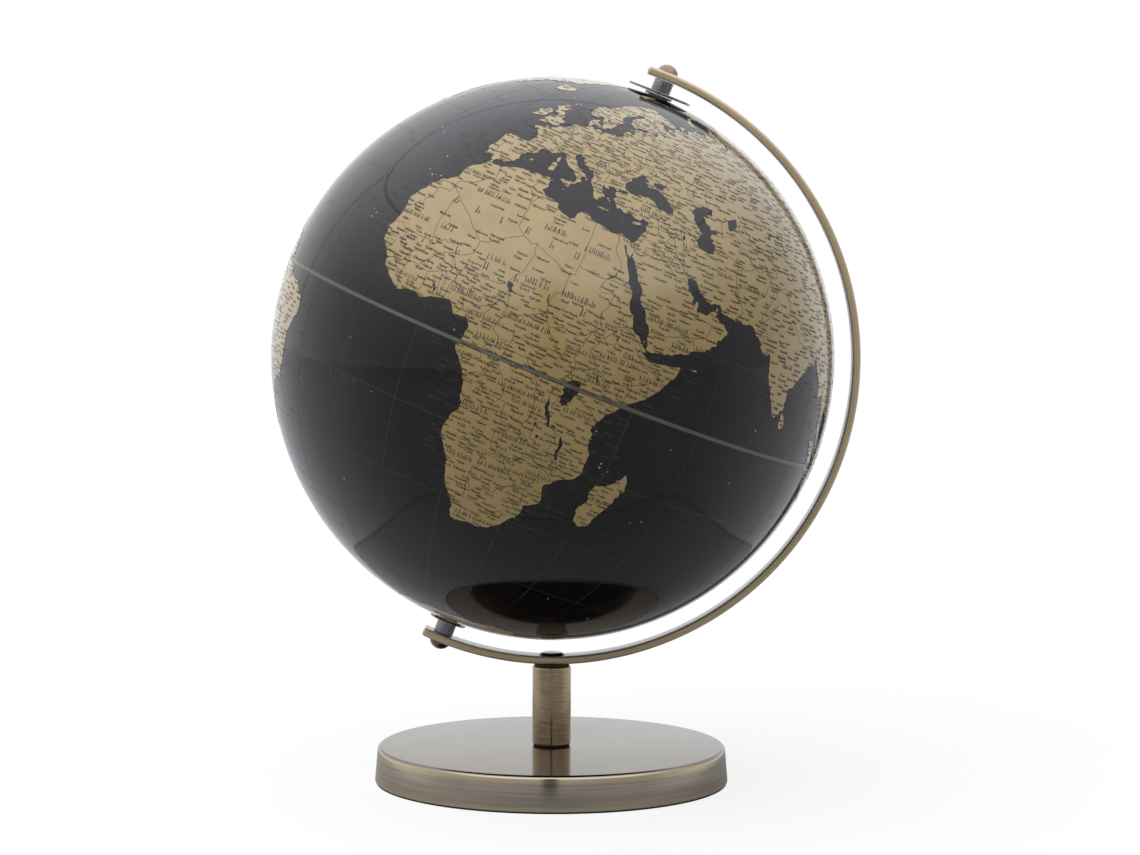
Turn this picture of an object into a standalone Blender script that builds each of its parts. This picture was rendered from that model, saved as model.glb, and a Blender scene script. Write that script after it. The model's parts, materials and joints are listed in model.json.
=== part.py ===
"""Desktop globe on a weighted stand.

A hollow globe of two hemispheres turns on two pivot screws. The screws sit in a
semi-meridian arm, which is bolted to a short stem on a weighted round base.
The scene is in metres with +Z up, and the origin is on the table under the stem.
The sizes below are in millimetres and MM turns them into metres.
"""
import math

import bmesh
import bpy

MM = 0.001
GAP = 0.3            # left between pieces that rest on each other
THIN_GAP = 0.2       # the same at the thin rings above and below the stem
CUT_OVERRUN = 2.0    # how far a cutter runs past the faces that it cuts
HOLE_END_GAP = 1.5   # between a fastener's end and the end of its hole

# Globe
GLOBE_RADIUS = 125.0
GLOBE_WALL = 2.0
GLOBE_CENTRE_Z = 190.0
AXIS_TILT = 21.6     # degrees from the vertical, towards +X
SPHERE_SEGMENTS = 56
SPHERE_RINGS = 14    # from a pole to the equator
SEAM_HALF_GAP = 0.15
JOINT_RING_HALF_HEIGHT = 5.0
JOINT_RING_WALL = 1.8
JOINT_RING_ALLOWANCE = 0.4   # for the flats between the shell's segments

# Semi-meridian arm
ARM_INNER_RADIUS = 133.0
ARM_THICKNESS = 3.6
ARM_WIDTH = 12.8
ARM_EDGE_ROUND = 1.3
ARM_OVERHANG = 8.6   # how far each end runs past its pivot screw, along the arc
ARM_STEPS = 45

# Pivots, the same at both poles but for the washers
PIVOT_SHANK_RADIUS = 2.0
PIVOT_HEAD_RADIUS = 4.7
PIVOT_HEAD_HEIGHT = 3.2
PIVOT_DEPTH = 5.5            # how far the screw's end reaches below the globe's surface
PIVOT_TIP_CHAMFER = 0.5
PIVOT_RECESS = (4.6, 1.0, 2.4)       # length, width and depth of the driver recess
RUNNING_CLEARANCE = 0.08     # between the screw's end and the bush it turns in
SPACER_RADIUS = 4.4
NORTH_WASHER = (14.5, 0.9)           # radius and thickness
SOUTH_WASHER = (8.4, 0.5)
BUSH_BARREL_RADIUS = 4.6
BUSH_FLANGE_RADIUS = 6.25
BUSH_FLANGE_THICKNESS = 0.8
BUSH_LENGTH = 8.5
CLIP_RADIUS = 9.0
CLIP_THICKNESS = 1.2
CLIP_DEPTH = 3.1             # below the globe's surface

# Base
BASE_TOP_Z = 16.3
BASE_BOTTOM_Z = 0.8
BASE_BOTTOM_RADIUS = 79.2
BASE_TOP_RADIUS = 77.9
BASE_ROUND = 1.6
BASE_WALL = 1.2
PAD_RADIUS = 76.0
PAD_THICKNESS = 1.2
BALLAST_RADIUS = 75.0
BALLAST_POCKET_INNER = 20.0
BALLAST_POCKET_OUTER = 66.0
BALLAST_POCKET_DEPTH = 6.0
BALLAST_POCKET_DRAFT = 2.0   # how far the pocket's walls lean in
BALLAST_CHAMFER = 1.0
COUNTERBORE_RADIUS = 9.0
COUNTERBORE_TOP_Z = 9.2

# Stem and its fasteners
STEM_RADIUS = 8.65
STEM_CHAMFER = 0.35
SEAT_RING_RADIUS = 8.1
SEAT_RING_THICKNESS = 0.4
COLLAR_RADIUS = 7.9
COLLAR_THICKNESS = 0.8
M6_RADIUS = 3.0
M6_HEX_RADIUS = 5.77         # across the corners
M6_HEX_HEIGHT = 4.0
WASHER_RADIUS = 6.2
WASHER_THICKNESS = 1.2
LOCK_WASHER_RADIUS = 5.4
LOCK_WASHER_THICKNESS = 1.4
LOCK_WASHER_SPLIT = 1.0      # width of the cut through one side
LOCK_WASHER_SPLIT_TURN = 35.0
STEM_BOLT_GRIP = 14.0        # how far the stem bolt screws into the stem
SHANK_OVERLAP = 1.0          # how far the bolt's shank runs into its head before they join
ARM_SCREW_HEAD_RADIUS = 6.0
ARM_SCREW_HEAD_RISE = 1.5    # above the arm's inner face
ARM_SCREW_GRIP = 15.0
ARM_SCREW_RECESS = (6.4, 1.3, 2.6)   # length, width and depth of the driver recess
RECESS_OVERRUN = 0.5
RECESS_TAPER = 0.45          # the recess's length at the bottom, as a share of its top
RECESS_TURN = 20.0

# Heights that follow from the sizes above
ARM_OUTER_RADIUS = ARM_INNER_RADIUS + ARM_THICKNESS
ARM_LOW_OUTER_Z = GLOBE_CENTRE_Z - ARM_OUTER_RADIUS
ARM_LOW_INNER_Z = GLOBE_CENTRE_Z - ARM_INNER_RADIUS
SEAT_RING_Z = BASE_TOP_Z + THIN_GAP
STEM_BOTTOM_Z = SEAT_RING_Z + SEAT_RING_THICKNESS + THIN_GAP
COLLAR_TOP_Z = ARM_LOW_OUTER_Z - THIN_GAP
STEM_TOP_Z = COLLAR_TOP_Z - COLLAR_THICKNESS - THIN_GAP


def clear_scene():
    for obj in list(bpy.data.objects):
        bpy.data.objects.remove(obj, do_unlink=True)


def new_collection(name):
    collection = bpy.data.collections.new(name)
    bpy.context.scene.collection.children.link(collection)
    return collection


def make_material(name, color, roughness, metallic):
    material = bpy.data.materials.new(name)
    material.use_nodes = True
    shader = material.node_tree.nodes["Principled BSDF"]
    shader.inputs["Base Color"].default_value = (*color, 1.0)
    shader.inputs["Roughness"].default_value = roughness
    shader.inputs["Metallic"].default_value = metallic
    return material


clear_scene()
PARTS = new_collection("desktop_globe")
CUTTERS = new_collection("cutters")

BRASS = make_material("antique_brass", (0.34, 0.26, 0.17), 0.35, 1.0)
STEEL = make_material("zinc_plated_steel", (0.45, 0.46, 0.47), 0.30, 1.0)
DARK_STEEL = make_material("blackened_steel", (0.06, 0.06, 0.055), 0.35, 1.0)
IRON = make_material("cast_iron", (0.12, 0.12, 0.12), 0.70, 1.0)
PRINT = make_material("printed_ocean", (0.025, 0.025, 0.028), 0.15, 0.0)
NYLON = make_material("cream_nylon", (0.55, 0.48, 0.33), 0.45, 0.0)
ABS = make_material("grey_abs", (0.30, 0.30, 0.30), 0.55, 0.0)
FIBRE = make_material("black_fibre", (0.015, 0.013, 0.010), 0.70, 0.0)
RUBBER = make_material("foam_rubber", (0.02, 0.02, 0.02), 0.90, 0.0)


# ---------------------------------------------------------------- building blocks

def add_empty(name, height, tilt):
    """Return an empty on the Z axis, turned by tilt degrees about Y."""
    empty = bpy.data.objects.new(name, None)
    PARTS.objects.link(empty)
    empty.location = (0.0, 0.0, height * MM)
    empty.rotation_euler = (0.0, math.radians(tilt), 0.0)
    return empty


def add_object(name, mesh, material, parent, collection=None):
    obj = bpy.data.objects.new(name, mesh)
    (collection or PARTS).objects.link(obj)
    obj.parent = parent
    if material:
        mesh.materials.append(material)
    return obj


def hide(obj):
    obj.hide_render = True
    obj.display_type = "WIRE"
    return obj


def arc(centre_r, centre_z, radius, start, end, steps):
    """Return the points of an arc between two angles, both ends included."""
    points = []
    for i in range(steps + 1):
        angle = math.radians(start + (end - start) * i / steps)
        points.append((centre_r + radius * math.cos(angle), centre_z + radius * math.sin(angle)))
    return points


def turned(name, profile, segments, material, parent, closed=False, collection=None):
    """Turn a profile of (radius, height) points about the parent's Z axis.

    The profile runs down its outer side. A closed profile makes a ring, and an open
    one starts and ends on the axis.
    """
    mesh = bpy.data.meshes.new(name)
    count = len(profile)
    edges = [(i, i + 1) for i in range(count - 1)]
    if closed:
        edges.append((count - 1, 0))
    mesh.from_pydata([(r * MM, 0.0, z * MM) for r, z in profile], edges, [])
    obj = add_object(name, mesh, material, parent, collection)
    screw = obj.modifiers.new("turn", "SCREW")
    screw.axis = "Z"
    screw.steps = segments
    screw.render_steps = segments
    screw.use_merge_vertices = True
    screw.merge_threshold = 0.00001
    return obj


def ring(name, inner, outer, low, high, segments, material, parent, collection=None):
    profile = [(inner, high), (outer, high), (outer, low), (inner, low)]
    return turned(name, profile, segments, material, parent, True, collection)


def rod_cutter(name, radius, low, high, segments, parent):
    profile = [(0.0, high), (radius, high), (radius, low), (0.0, low)]
    return hide(turned(name, profile, segments, None, parent, False, CUTTERS))


def boolean(obj, tool, operation):
    modifier = obj.modifiers.new(tool.name, "BOOLEAN")
    modifier.operation = operation
    modifier.solver = "EXACT"
    modifier.object = tool


def bar_cutter(name, size, top, taper, turn, parent):
    """Return a bar under height top, narrowing to taper of its length at the bottom."""
    bars = bmesh.new()
    bmesh.ops.create_cube(bars, size=1.0)
    for vert in bars.verts:
        shrink = taper if vert.co.z < 0.0 else 1.0
        vert.co.x *= size[0] * shrink * MM
        vert.co.y *= size[1] * MM
        vert.co.z = (top + (vert.co.z - 0.5) * size[2]) * MM
    mesh = bpy.data.meshes.new(name)
    bars.to_mesh(mesh)
    bars.free()
    cutter = add_object(name, mesh, None, parent, CUTTERS)
    cutter.rotation_euler = (0.0, 0.0, math.radians(turn))
    return hide(cutter)


def cut_cross_recess(obj, head_top, size):
    """Cut a cross-shaped driver recess on the object's axis, down from just above its head."""
    for turn in (RECESS_TURN, RECESS_TURN + 90.0):
        name = f"{obj.name}_recess_{int(turn)}"
        bar = bar_cutter(name, size, head_top + RECESS_OVERRUN, RECESS_TAPER, turn, obj.parent)
        boolean(obj, bar, "DIFFERENCE")


# ---------------------------------------------------------------- base and stem

def build_base(base_axis):
    wall_top = BASE_TOP_Z - BASE_WALL
    hole = M6_RADIUS + GAP
    round_centre_r = BASE_TOP_RADIUS - BASE_ROUND
    round_centre_z = BASE_TOP_Z - BASE_ROUND
    outside = [(hole, BASE_TOP_Z)]
    outside += arc(round_centre_r, round_centre_z, BASE_ROUND, 90.0, 0.0, 4)
    outside += [(BASE_BOTTOM_RADIUS, BASE_BOTTOM_Z)]
    inside = [(BASE_BOTTOM_RADIUS - BASE_WALL, BASE_BOTTOM_Z)]
    inside += [(BASE_TOP_RADIUS - BASE_WALL, round_centre_z), (round_centre_r, wall_top), (hole, wall_top)]
    turned("base_shell", outside + inside, 64, BRASS, base_axis, closed=True)

    ballast_top = wall_top - GAP
    ballast_bottom = PAD_THICKNESS + GAP
    pocket_roof = ballast_bottom + BALLAST_POCKET_DEPTH
    ballast = [
        (hole, ballast_top),
        (BALLAST_RADIUS - BALLAST_CHAMFER, ballast_top),
        (BALLAST_RADIUS, ballast_top - BALLAST_CHAMFER),
        (BALLAST_RADIUS, ballast_bottom),
        (BALLAST_POCKET_OUTER, ballast_bottom),
        (BALLAST_POCKET_OUTER - BALLAST_POCKET_DRAFT, pocket_roof),
        (BALLAST_POCKET_INNER + BALLAST_POCKET_DRAFT, pocket_roof),
        (BALLAST_POCKET_INNER, ballast_bottom),
        (COUNTERBORE_RADIUS, ballast_bottom),
        (COUNTERBORE_RADIUS, COUNTERBORE_TOP_Z),
        (hole, COUNTERBORE_TOP_Z),
    ]
    turned("ballast_weight", ballast, 48, IRON, base_axis, closed=True)

    pad = [(0.0, PAD_THICKNESS), (PAD_RADIUS, PAD_THICKNESS), (PAD_RADIUS, 0.0), (0.0, 0.0)]
    turned("foot_pad", pad, 64, RUBBER, base_axis)


def build_stem_bolt(base_axis):
    """Build the bolt that pulls the stem down on the base, with its two washers."""
    washer_low = COUNTERBORE_TOP_Z - GAP - WASHER_THICKNESS
    ring("stem_bolt_washer", M6_RADIUS + GAP, WASHER_RADIUS, washer_low, washer_low + WASHER_THICKNESS,
         24, STEEL, base_axis)

    lock_low = washer_low - GAP - LOCK_WASHER_THICKNESS
    lock_washer = ring("stem_bolt_lock_washer", M6_RADIUS + GAP, LOCK_WASHER_RADIUS, lock_low,
                       lock_low + LOCK_WASHER_THICKNESS, 24, STEEL, base_axis)
    split_length = LOCK_WASHER_RADIUS + CUT_OVERRUN
    split_height = LOCK_WASHER_THICKNESS + 2 * CUT_OVERRUN
    split = bar_cutter("lock_washer_split", (split_length, LOCK_WASHER_SPLIT, split_height),
                       lock_low + LOCK_WASHER_THICKNESS + CUT_OVERRUN, 1.0, LOCK_WASHER_SPLIT_TURN, base_axis)
    split_angle = math.radians(LOCK_WASHER_SPLIT_TURN)
    split.location.x = split_length / 2 * MM * math.cos(split_angle)
    split.location.y = split_length / 2 * MM * math.sin(split_angle)
    boolean(lock_washer, split, "DIFFERENCE")

    head_top = lock_low - GAP
    head = bmesh.new()
    bmesh.ops.create_cone(head, cap_ends=True, segments=6, radius1=M6_HEX_RADIUS * MM,
                          radius2=M6_HEX_RADIUS * MM, depth=M6_HEX_HEIGHT * MM)
    bmesh.ops.translate(head, vec=(0.0, 0.0, (head_top - M6_HEX_HEIGHT / 2) * MM), verts=head.verts)
    mesh = bpy.data.meshes.new("stem_bolt")
    head.to_mesh(mesh)
    head.free()
    bolt = add_object("stem_bolt", mesh, STEEL, base_axis)
    shank = rod_cutter("stem_bolt_shank", M6_RADIUS, head_top - SHANK_OVERLAP, STEM_BOTTOM_Z + STEM_BOLT_GRIP,
                       24, base_axis)
    boolean(bolt, shank, "UNION")


def build_stem(base_axis):
    seat_top = SEAT_RING_Z + SEAT_RING_THICKNESS
    ring("stem_seat_ring", M6_RADIUS + GAP, SEAT_RING_RADIUS, SEAT_RING_Z, seat_top, 32, FIBRE, base_axis)

    bore = M6_RADIUS + GAP
    lower_end = STEM_BOTTOM_Z + STEM_BOLT_GRIP + HOLE_END_GAP
    upper_end = STEM_TOP_Z - ARM_SCREW_GRIP - HOLE_END_GAP
    profile = [
        (0.0, upper_end),
        (bore, upper_end),
        (bore, STEM_TOP_Z),
        (STEM_RADIUS - STEM_CHAMFER, STEM_TOP_Z),
        (STEM_RADIUS, STEM_TOP_Z - STEM_CHAMFER),
        (STEM_RADIUS, STEM_BOTTOM_Z + STEM_CHAMFER),
        (STEM_RADIUS - STEM_CHAMFER, STEM_BOTTOM_Z),
        (bore, STEM_BOTTOM_Z),
        (bore, lower_end),
        (0.0, lower_end),
    ]
    turned("stem", profile, 40, BRASS, base_axis)

    ring("stem_collar", bore, COLLAR_RADIUS, COLLAR_TOP_Z - COLLAR_THICKNESS, COLLAR_TOP_Z,
         32, FIBRE, base_axis)


# ---------------------------------------------------------------- arm

def arm_section():
    """Return a rounded rectangle curve: the arm's cross-section."""
    curve = bpy.data.curves.new("arm_section", "CURVE")
    curve.dimensions = "2D"
    points = []
    for quarter, (side_x, side_y) in enumerate([(1, 1), (-1, 1), (-1, -1), (1, -1)]):
        centre_x = side_x * (ARM_THICKNESS / 2 - ARM_EDGE_ROUND)
        centre_y = side_y * (ARM_WIDTH / 2 - ARM_EDGE_ROUND)
        points += arc(centre_x, centre_y, ARM_EDGE_ROUND, 90.0 * quarter, 90.0 * (quarter + 1), 3)
    spline = curve.splines.new("POLY")
    spline.points.add(len(points) - 1)
    for point, (x, y) in zip(spline.points, points):
        point.co = (x * MM, y * MM, 0.0, 1.0)
    spline.use_cyclic_u = True
    section = bpy.data.objects.new("arm_section", curve)
    CUTTERS.objects.link(section)
    return hide(section)


def arm_path(section):
    """Return the arm as a curve in its own XY plane, swept with the cross-section.

    Local +Y points at the north pole and local +X at the open side's opposite.
    """
    curve = bpy.data.curves.new("arm_path", "CURVE")
    curve.dimensions = "2D"
    curve.bevel_mode = "OBJECT"
    curve.bevel_object = section
    curve.use_fill_caps = True
    mid_radius = ARM_INNER_RADIUS + ARM_THICKNESS / 2
    overhang = math.degrees(ARM_OVERHANG / mid_radius)
    points = arc(0.0, 0.0, mid_radius, 90.0 + overhang, -90.0 - overhang, ARM_STEPS)
    spline = curve.splines.new("POLY")
    spline.points.add(len(points) - 1)
    for point, (x, y) in zip(spline.points, points):
        point.co = (x * MM, y * MM, 0.0, 1.0)
    path = bpy.data.objects.new("arm_path", curve)
    PARTS.objects.link(path)
    path.rotation_euler = (math.radians(90.0), 0.0, 0.0)
    return path


def build_arm(base_axis, north_axis, south_axis):
    section = arm_section()
    path = arm_path(section)
    path.parent = north_axis
    bpy.context.view_layer.update()
    swept = bpy.data.meshes.new_from_object(path.evaluated_get(bpy.context.evaluated_depsgraph_get()))
    place = path.matrix_world.copy()
    bpy.data.objects.remove(path, do_unlink=True)
    bpy.data.objects.remove(section, do_unlink=True)

    solid = bmesh.new()
    solid.from_mesh(swept)
    bmesh.ops.remove_doubles(solid, verts=solid.verts, dist=0.00001)
    bmesh.ops.recalc_face_normals(solid, faces=solid.faces)
    solid.to_mesh(swept)
    solid.free()
    arm = add_object("meridian_arm", swept, BRASS, None)
    arm.matrix_world = place

    for side, axis in (("north", north_axis), ("south", south_axis)):
        hole = rod_cutter(f"arm_{side}_hole", PIVOT_SHANK_RADIUS + GAP, ARM_INNER_RADIUS - CUT_OVERRUN,
                          ARM_OUTER_RADIUS + CUT_OVERRUN, 24, axis)
        boolean(arm, hole, "DIFFERENCE")
    boolean(arm, arm_screw_clearance(base_axis), "DIFFERENCE")


def arm_screw_head_points(offset):
    """Return the countersunk head's outline and shank top, grown by offset."""
    head_top = ARM_LOW_INNER_Z + ARM_SCREW_HEAD_RISE
    rim_low = head_top - GAP
    cone_drop = ARM_SCREW_HEAD_RADIUS - M6_RADIUS
    shift = offset * math.tan(math.radians(22.5))
    return [
        (ARM_SCREW_HEAD_RADIUS + offset, head_top + offset),
        (ARM_SCREW_HEAD_RADIUS + offset, rim_low - shift),
        (M6_RADIUS + offset, rim_low - cone_drop - shift),
    ]


def arm_screw_clearance(base_axis):
    head = arm_screw_head_points(GAP)
    low = ARM_LOW_OUTER_Z - CUT_OVERRUN
    profile = [(0.0, head[0][1]), *head, (M6_RADIUS + GAP, low), (0.0, low)]
    return hide(turned("arm_screw_clearance", profile, 32, None, base_axis, False, CUTTERS))


def build_arm_screw(base_axis):
    head = arm_screw_head_points(0.0)
    low = STEM_TOP_Z - ARM_SCREW_GRIP
    profile = [(0.0, head[0][1]), *head, (M6_RADIUS, low), (0.0, low)]
    screw = turned("arm_screw", profile, 32, DARK_STEEL, base_axis)
    cut_cross_recess(screw, head[0][1], ARM_SCREW_RECESS)


# ---------------------------------------------------------------- pivots and globe

def build_pivot(side, axis, washer_size):
    """Build the screw, spacer and washer that hold one pole in the arm.

    Heights are distances from the globe's centre along the polar axis.
    """
    bore = PIVOT_SHANK_RADIUS + GAP
    head_low = ARM_OUTER_RADIUS + GAP
    dome_radius = (PIVOT_HEAD_RADIUS ** 2 + PIVOT_HEAD_HEIGHT ** 2) / (2 * PIVOT_HEAD_HEIGHT)
    dome_centre = head_low + PIVOT_HEAD_HEIGHT - dome_radius
    rim_angle = math.degrees(math.acos(PIVOT_HEAD_RADIUS / dome_radius))
    tip = GLOBE_RADIUS - PIVOT_DEPTH
    profile = arc(0.0, dome_centre, dome_radius, 90.0, rim_angle, 5)
    profile[0] = (0.0, head_low + PIVOT_HEAD_HEIGHT)
    profile += [(PIVOT_SHANK_RADIUS, head_low), (PIVOT_SHANK_RADIUS, tip + PIVOT_TIP_CHAMFER)]
    profile += [(PIVOT_SHANK_RADIUS - PIVOT_TIP_CHAMFER, tip), (0.0, tip)]
    screw = turned(f"{side}_pivot_screw", profile, 24, BRASS, axis)
    cut_cross_recess(screw, head_low + PIVOT_HEAD_HEIGHT, PIVOT_RECESS)

    flange_low = math.sqrt(GLOBE_RADIUS ** 2 - (BUSH_BARREL_RADIUS + GAP) ** 2) + GAP
    flange_top = flange_low + BUSH_FLANGE_THICKNESS
    washer_radius, washer_thickness = washer_size
    washer_low = flange_top + GAP
    washer_top = washer_low + washer_thickness
    ring(f"{side}_washer", bore, washer_radius, washer_low, washer_top, 48, STEEL, axis)
    ring(f"{side}_spacer", bore, SPACER_RADIUS, washer_top + GAP, ARM_INNER_RADIUS - GAP, 32, STEEL, axis)

    bush_bore = PIVOT_SHANK_RADIUS + RUNNING_CLEARANCE
    bush_low = GLOBE_RADIUS - BUSH_LENGTH
    bush = [
        (bush_bore, flange_top),
        (BUSH_FLANGE_RADIUS, flange_top),
        (BUSH_FLANGE_RADIUS, flange_low),
        (BUSH_BARREL_RADIUS, flange_low),
        (BUSH_BARREL_RADIUS, bush_low),
        (bush_bore, bush_low),
    ]
    turned(f"{side}_bush", bush, 32, NYLON, axis, closed=True)

    clip_top = GLOBE_RADIUS - CLIP_DEPTH
    ring(f"{side}_bush_clip", BUSH_BARREL_RADIUS + GAP, CLIP_RADIUS, clip_top - CLIP_THICKNESS, clip_top,
         32, STEEL, axis)


def build_hemisphere(name, axis):
    """Build half of the globe's shell, with the pole along the axis and a hole for the bush."""
    hole = BUSH_BARREL_RADIUS + GAP
    inner_radius = GLOBE_RADIUS - GLOBE_WALL
    top_outer = math.degrees(math.acos(hole / GLOBE_RADIUS))
    top_inner = math.degrees(math.acos(hole / inner_radius))
    low_outer = math.degrees(math.asin(SEAM_HALF_GAP / GLOBE_RADIUS))
    low_inner = math.degrees(math.asin(SEAM_HALF_GAP / inner_radius))
    outside = arc(0.0, 0.0, GLOBE_RADIUS, top_outer, low_outer, SPHERE_RINGS)
    inside = arc(0.0, 0.0, inner_radius, low_inner, top_inner, SPHERE_RINGS)
    turned(name, outside + inside, SPHERE_SEGMENTS, PRINT, axis, closed=True)


def build_joint_ring(axis):
    half = JOINT_RING_HALF_HEIGHT
    outer = math.sqrt((GLOBE_RADIUS - GLOBE_WALL) ** 2 - half ** 2) - GAP - JOINT_RING_ALLOWANCE
    ring("equator_joint_ring", outer - JOINT_RING_WALL, outer, -half, half, SPHERE_SEGMENTS, ABS, axis)


def main():
    base_axis = add_empty("base_axis", 0.0, 0.0)
    north_axis = add_empty("globe_axis", GLOBE_CENTRE_Z, AXIS_TILT)
    south_axis = add_empty("globe_axis_south", GLOBE_CENTRE_Z, AXIS_TILT + 180.0)
    bpy.context.view_layer.update()

    build_base(base_axis)
    build_stem_bolt(base_axis)
    build_stem(base_axis)
    build_arm(base_axis, north_axis, south_axis)
    build_arm_screw(base_axis)
    build_pivot("north", north_axis, NORTH_WASHER)
    build_pivot("south", south_axis, SOUTH_WASHER)
    build_hemisphere("north_hemisphere", north_axis)
    build_hemisphere("south_hemisphere", south_axis)
    build_joint_ring(north_axis)


main()
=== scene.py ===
"""Looks of the desktop globe on stand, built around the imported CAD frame. Lengths are in metres."""
import json
import math
import random

import bpy
import numpy as np
from mathutils import Matrix, Vector
from mathutils.geometry import delaunay_2d_cdt


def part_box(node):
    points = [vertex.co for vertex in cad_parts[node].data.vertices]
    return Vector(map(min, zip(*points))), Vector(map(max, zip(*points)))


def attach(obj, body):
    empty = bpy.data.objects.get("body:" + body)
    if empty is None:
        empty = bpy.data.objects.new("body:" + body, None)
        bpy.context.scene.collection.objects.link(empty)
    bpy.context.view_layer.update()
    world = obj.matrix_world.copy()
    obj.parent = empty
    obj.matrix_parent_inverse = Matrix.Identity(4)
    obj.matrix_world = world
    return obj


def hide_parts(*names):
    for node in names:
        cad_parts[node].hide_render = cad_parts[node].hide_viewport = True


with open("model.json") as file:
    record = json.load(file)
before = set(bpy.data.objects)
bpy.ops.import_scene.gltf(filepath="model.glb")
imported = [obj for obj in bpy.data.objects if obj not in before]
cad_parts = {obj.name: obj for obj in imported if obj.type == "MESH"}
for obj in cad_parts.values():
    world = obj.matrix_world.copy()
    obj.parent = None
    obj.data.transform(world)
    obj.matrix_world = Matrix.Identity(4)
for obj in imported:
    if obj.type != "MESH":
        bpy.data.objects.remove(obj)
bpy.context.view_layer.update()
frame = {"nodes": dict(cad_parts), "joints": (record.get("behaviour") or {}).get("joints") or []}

MM = 0.001

# ---------------------------------------------------------------- world map
# Longitudes and latitudes in tenths of a degree, as lon lat lon lat ..., with a semicolon between paths.

AFRICA = """
-59 358 -53 359 -46 353 -39 352 -30 354 -22 351 -12 357 -6 358 1 361 5 363 15 366 31 368 48 369 53 367 63
370 73 371 84 369 95 373 102 372 103 368 110 371 106 364 106 358 110 352 107 347 101 339 109 337 112 332 123
329 132 329 143 327 152 324 154 317 158 313 169 309 180 307 190 303 200 308 201 321 209 327 217 329 229 327
232 322 240 320 250 317 260 316 272 314 289 309 299 312 305 315 311 316 319 315 323 312 325 300 323 296 326
290 330 284 336 278 339 271 343 260 350 249 355 240 356 232 362 226 369 220 372 210 371 200 372 196 374 188
381 180 386 179 391 167 392 159 397 151 412 146 417 139 424 130 431 126 433 124 433 119 427 116 432 114 439
109 446 104 456 107 466 108 475 111 489 113 503 117 508 120 513 118 511 106 508 94 499 81 495 70 486 53 477
42 466 29 453 20 441 11 431 2 425 -4 416 -17 409 -21 403 -26 401 -33 396 -43 392 -47 388 -59 388 -65 394 -68
395 -71 393 -80 395 -91 398 -101 404 -105 405 -118 405 -126 406 -142 408 -147 401 -161 395 -167 385 -171 374
-176 369 -179 363 -187 352 -196 348 -198 347 -205 353 -221 356 -229 355 -238 354 -241 342 -248 330 -254 326
-259 329 -262 329 -270 325 -283 322 -288 313 -294 309 -300 306 -304 301 -312 289 -323 282 -328 270 -336 259
-337 256 -340 247 -342 236 -340 226 -340 215 -344 207 -344 200 -348 192 -345 184 -343 184 -339 182 -333 179
-328 182 -317 176 -307 171 -299 163 -286 156 -278 152 -268 150 -261 148 -250 144 -238 144 -226 139 -216 134
-209 128 -197 121 -187 118 -181 117 -173 118 -160 122 -149 125 -135 133 -125 137 -120 138 -107 130 -91 132
-88 129 -76 128 -69 122 -60 122 -57 119 -50 111 -39 101 -27 94 -21 88 -11 88 -7 93 -4 93 3 95 10 96 23 98 31
94 38 89 45 85 47 75 44 71 45 61 43 59 43 54 51 50 56 43 63 36 64 27 63 19 61 11 59 -5 53 -11 50 -20 47 -29
50 -40 52 -46 52 -58 50 -75 43 -85 47 -90 50 -99 56 -108 61 -114 68 -124 73 -129 78 -132 85 -132 89 -137 95
-146 105 -150 109 -157 115 -161 118 -167 124 -168 132 -167 136 -171 144 -175 147 -172 149 -167 156 -165 161
-161 181 -163 191 -163 201 -169 210 -170 219 -163 227 -160 237 -154 244 -151 245 -148 251 -148 256 -144 263
-138 266 -131 276 -126 280 -117 281 -109 288 -104 291 -96 299 -98 312 -93 326 -87 332 -77 337 -69 341 -62
351
"""
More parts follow.
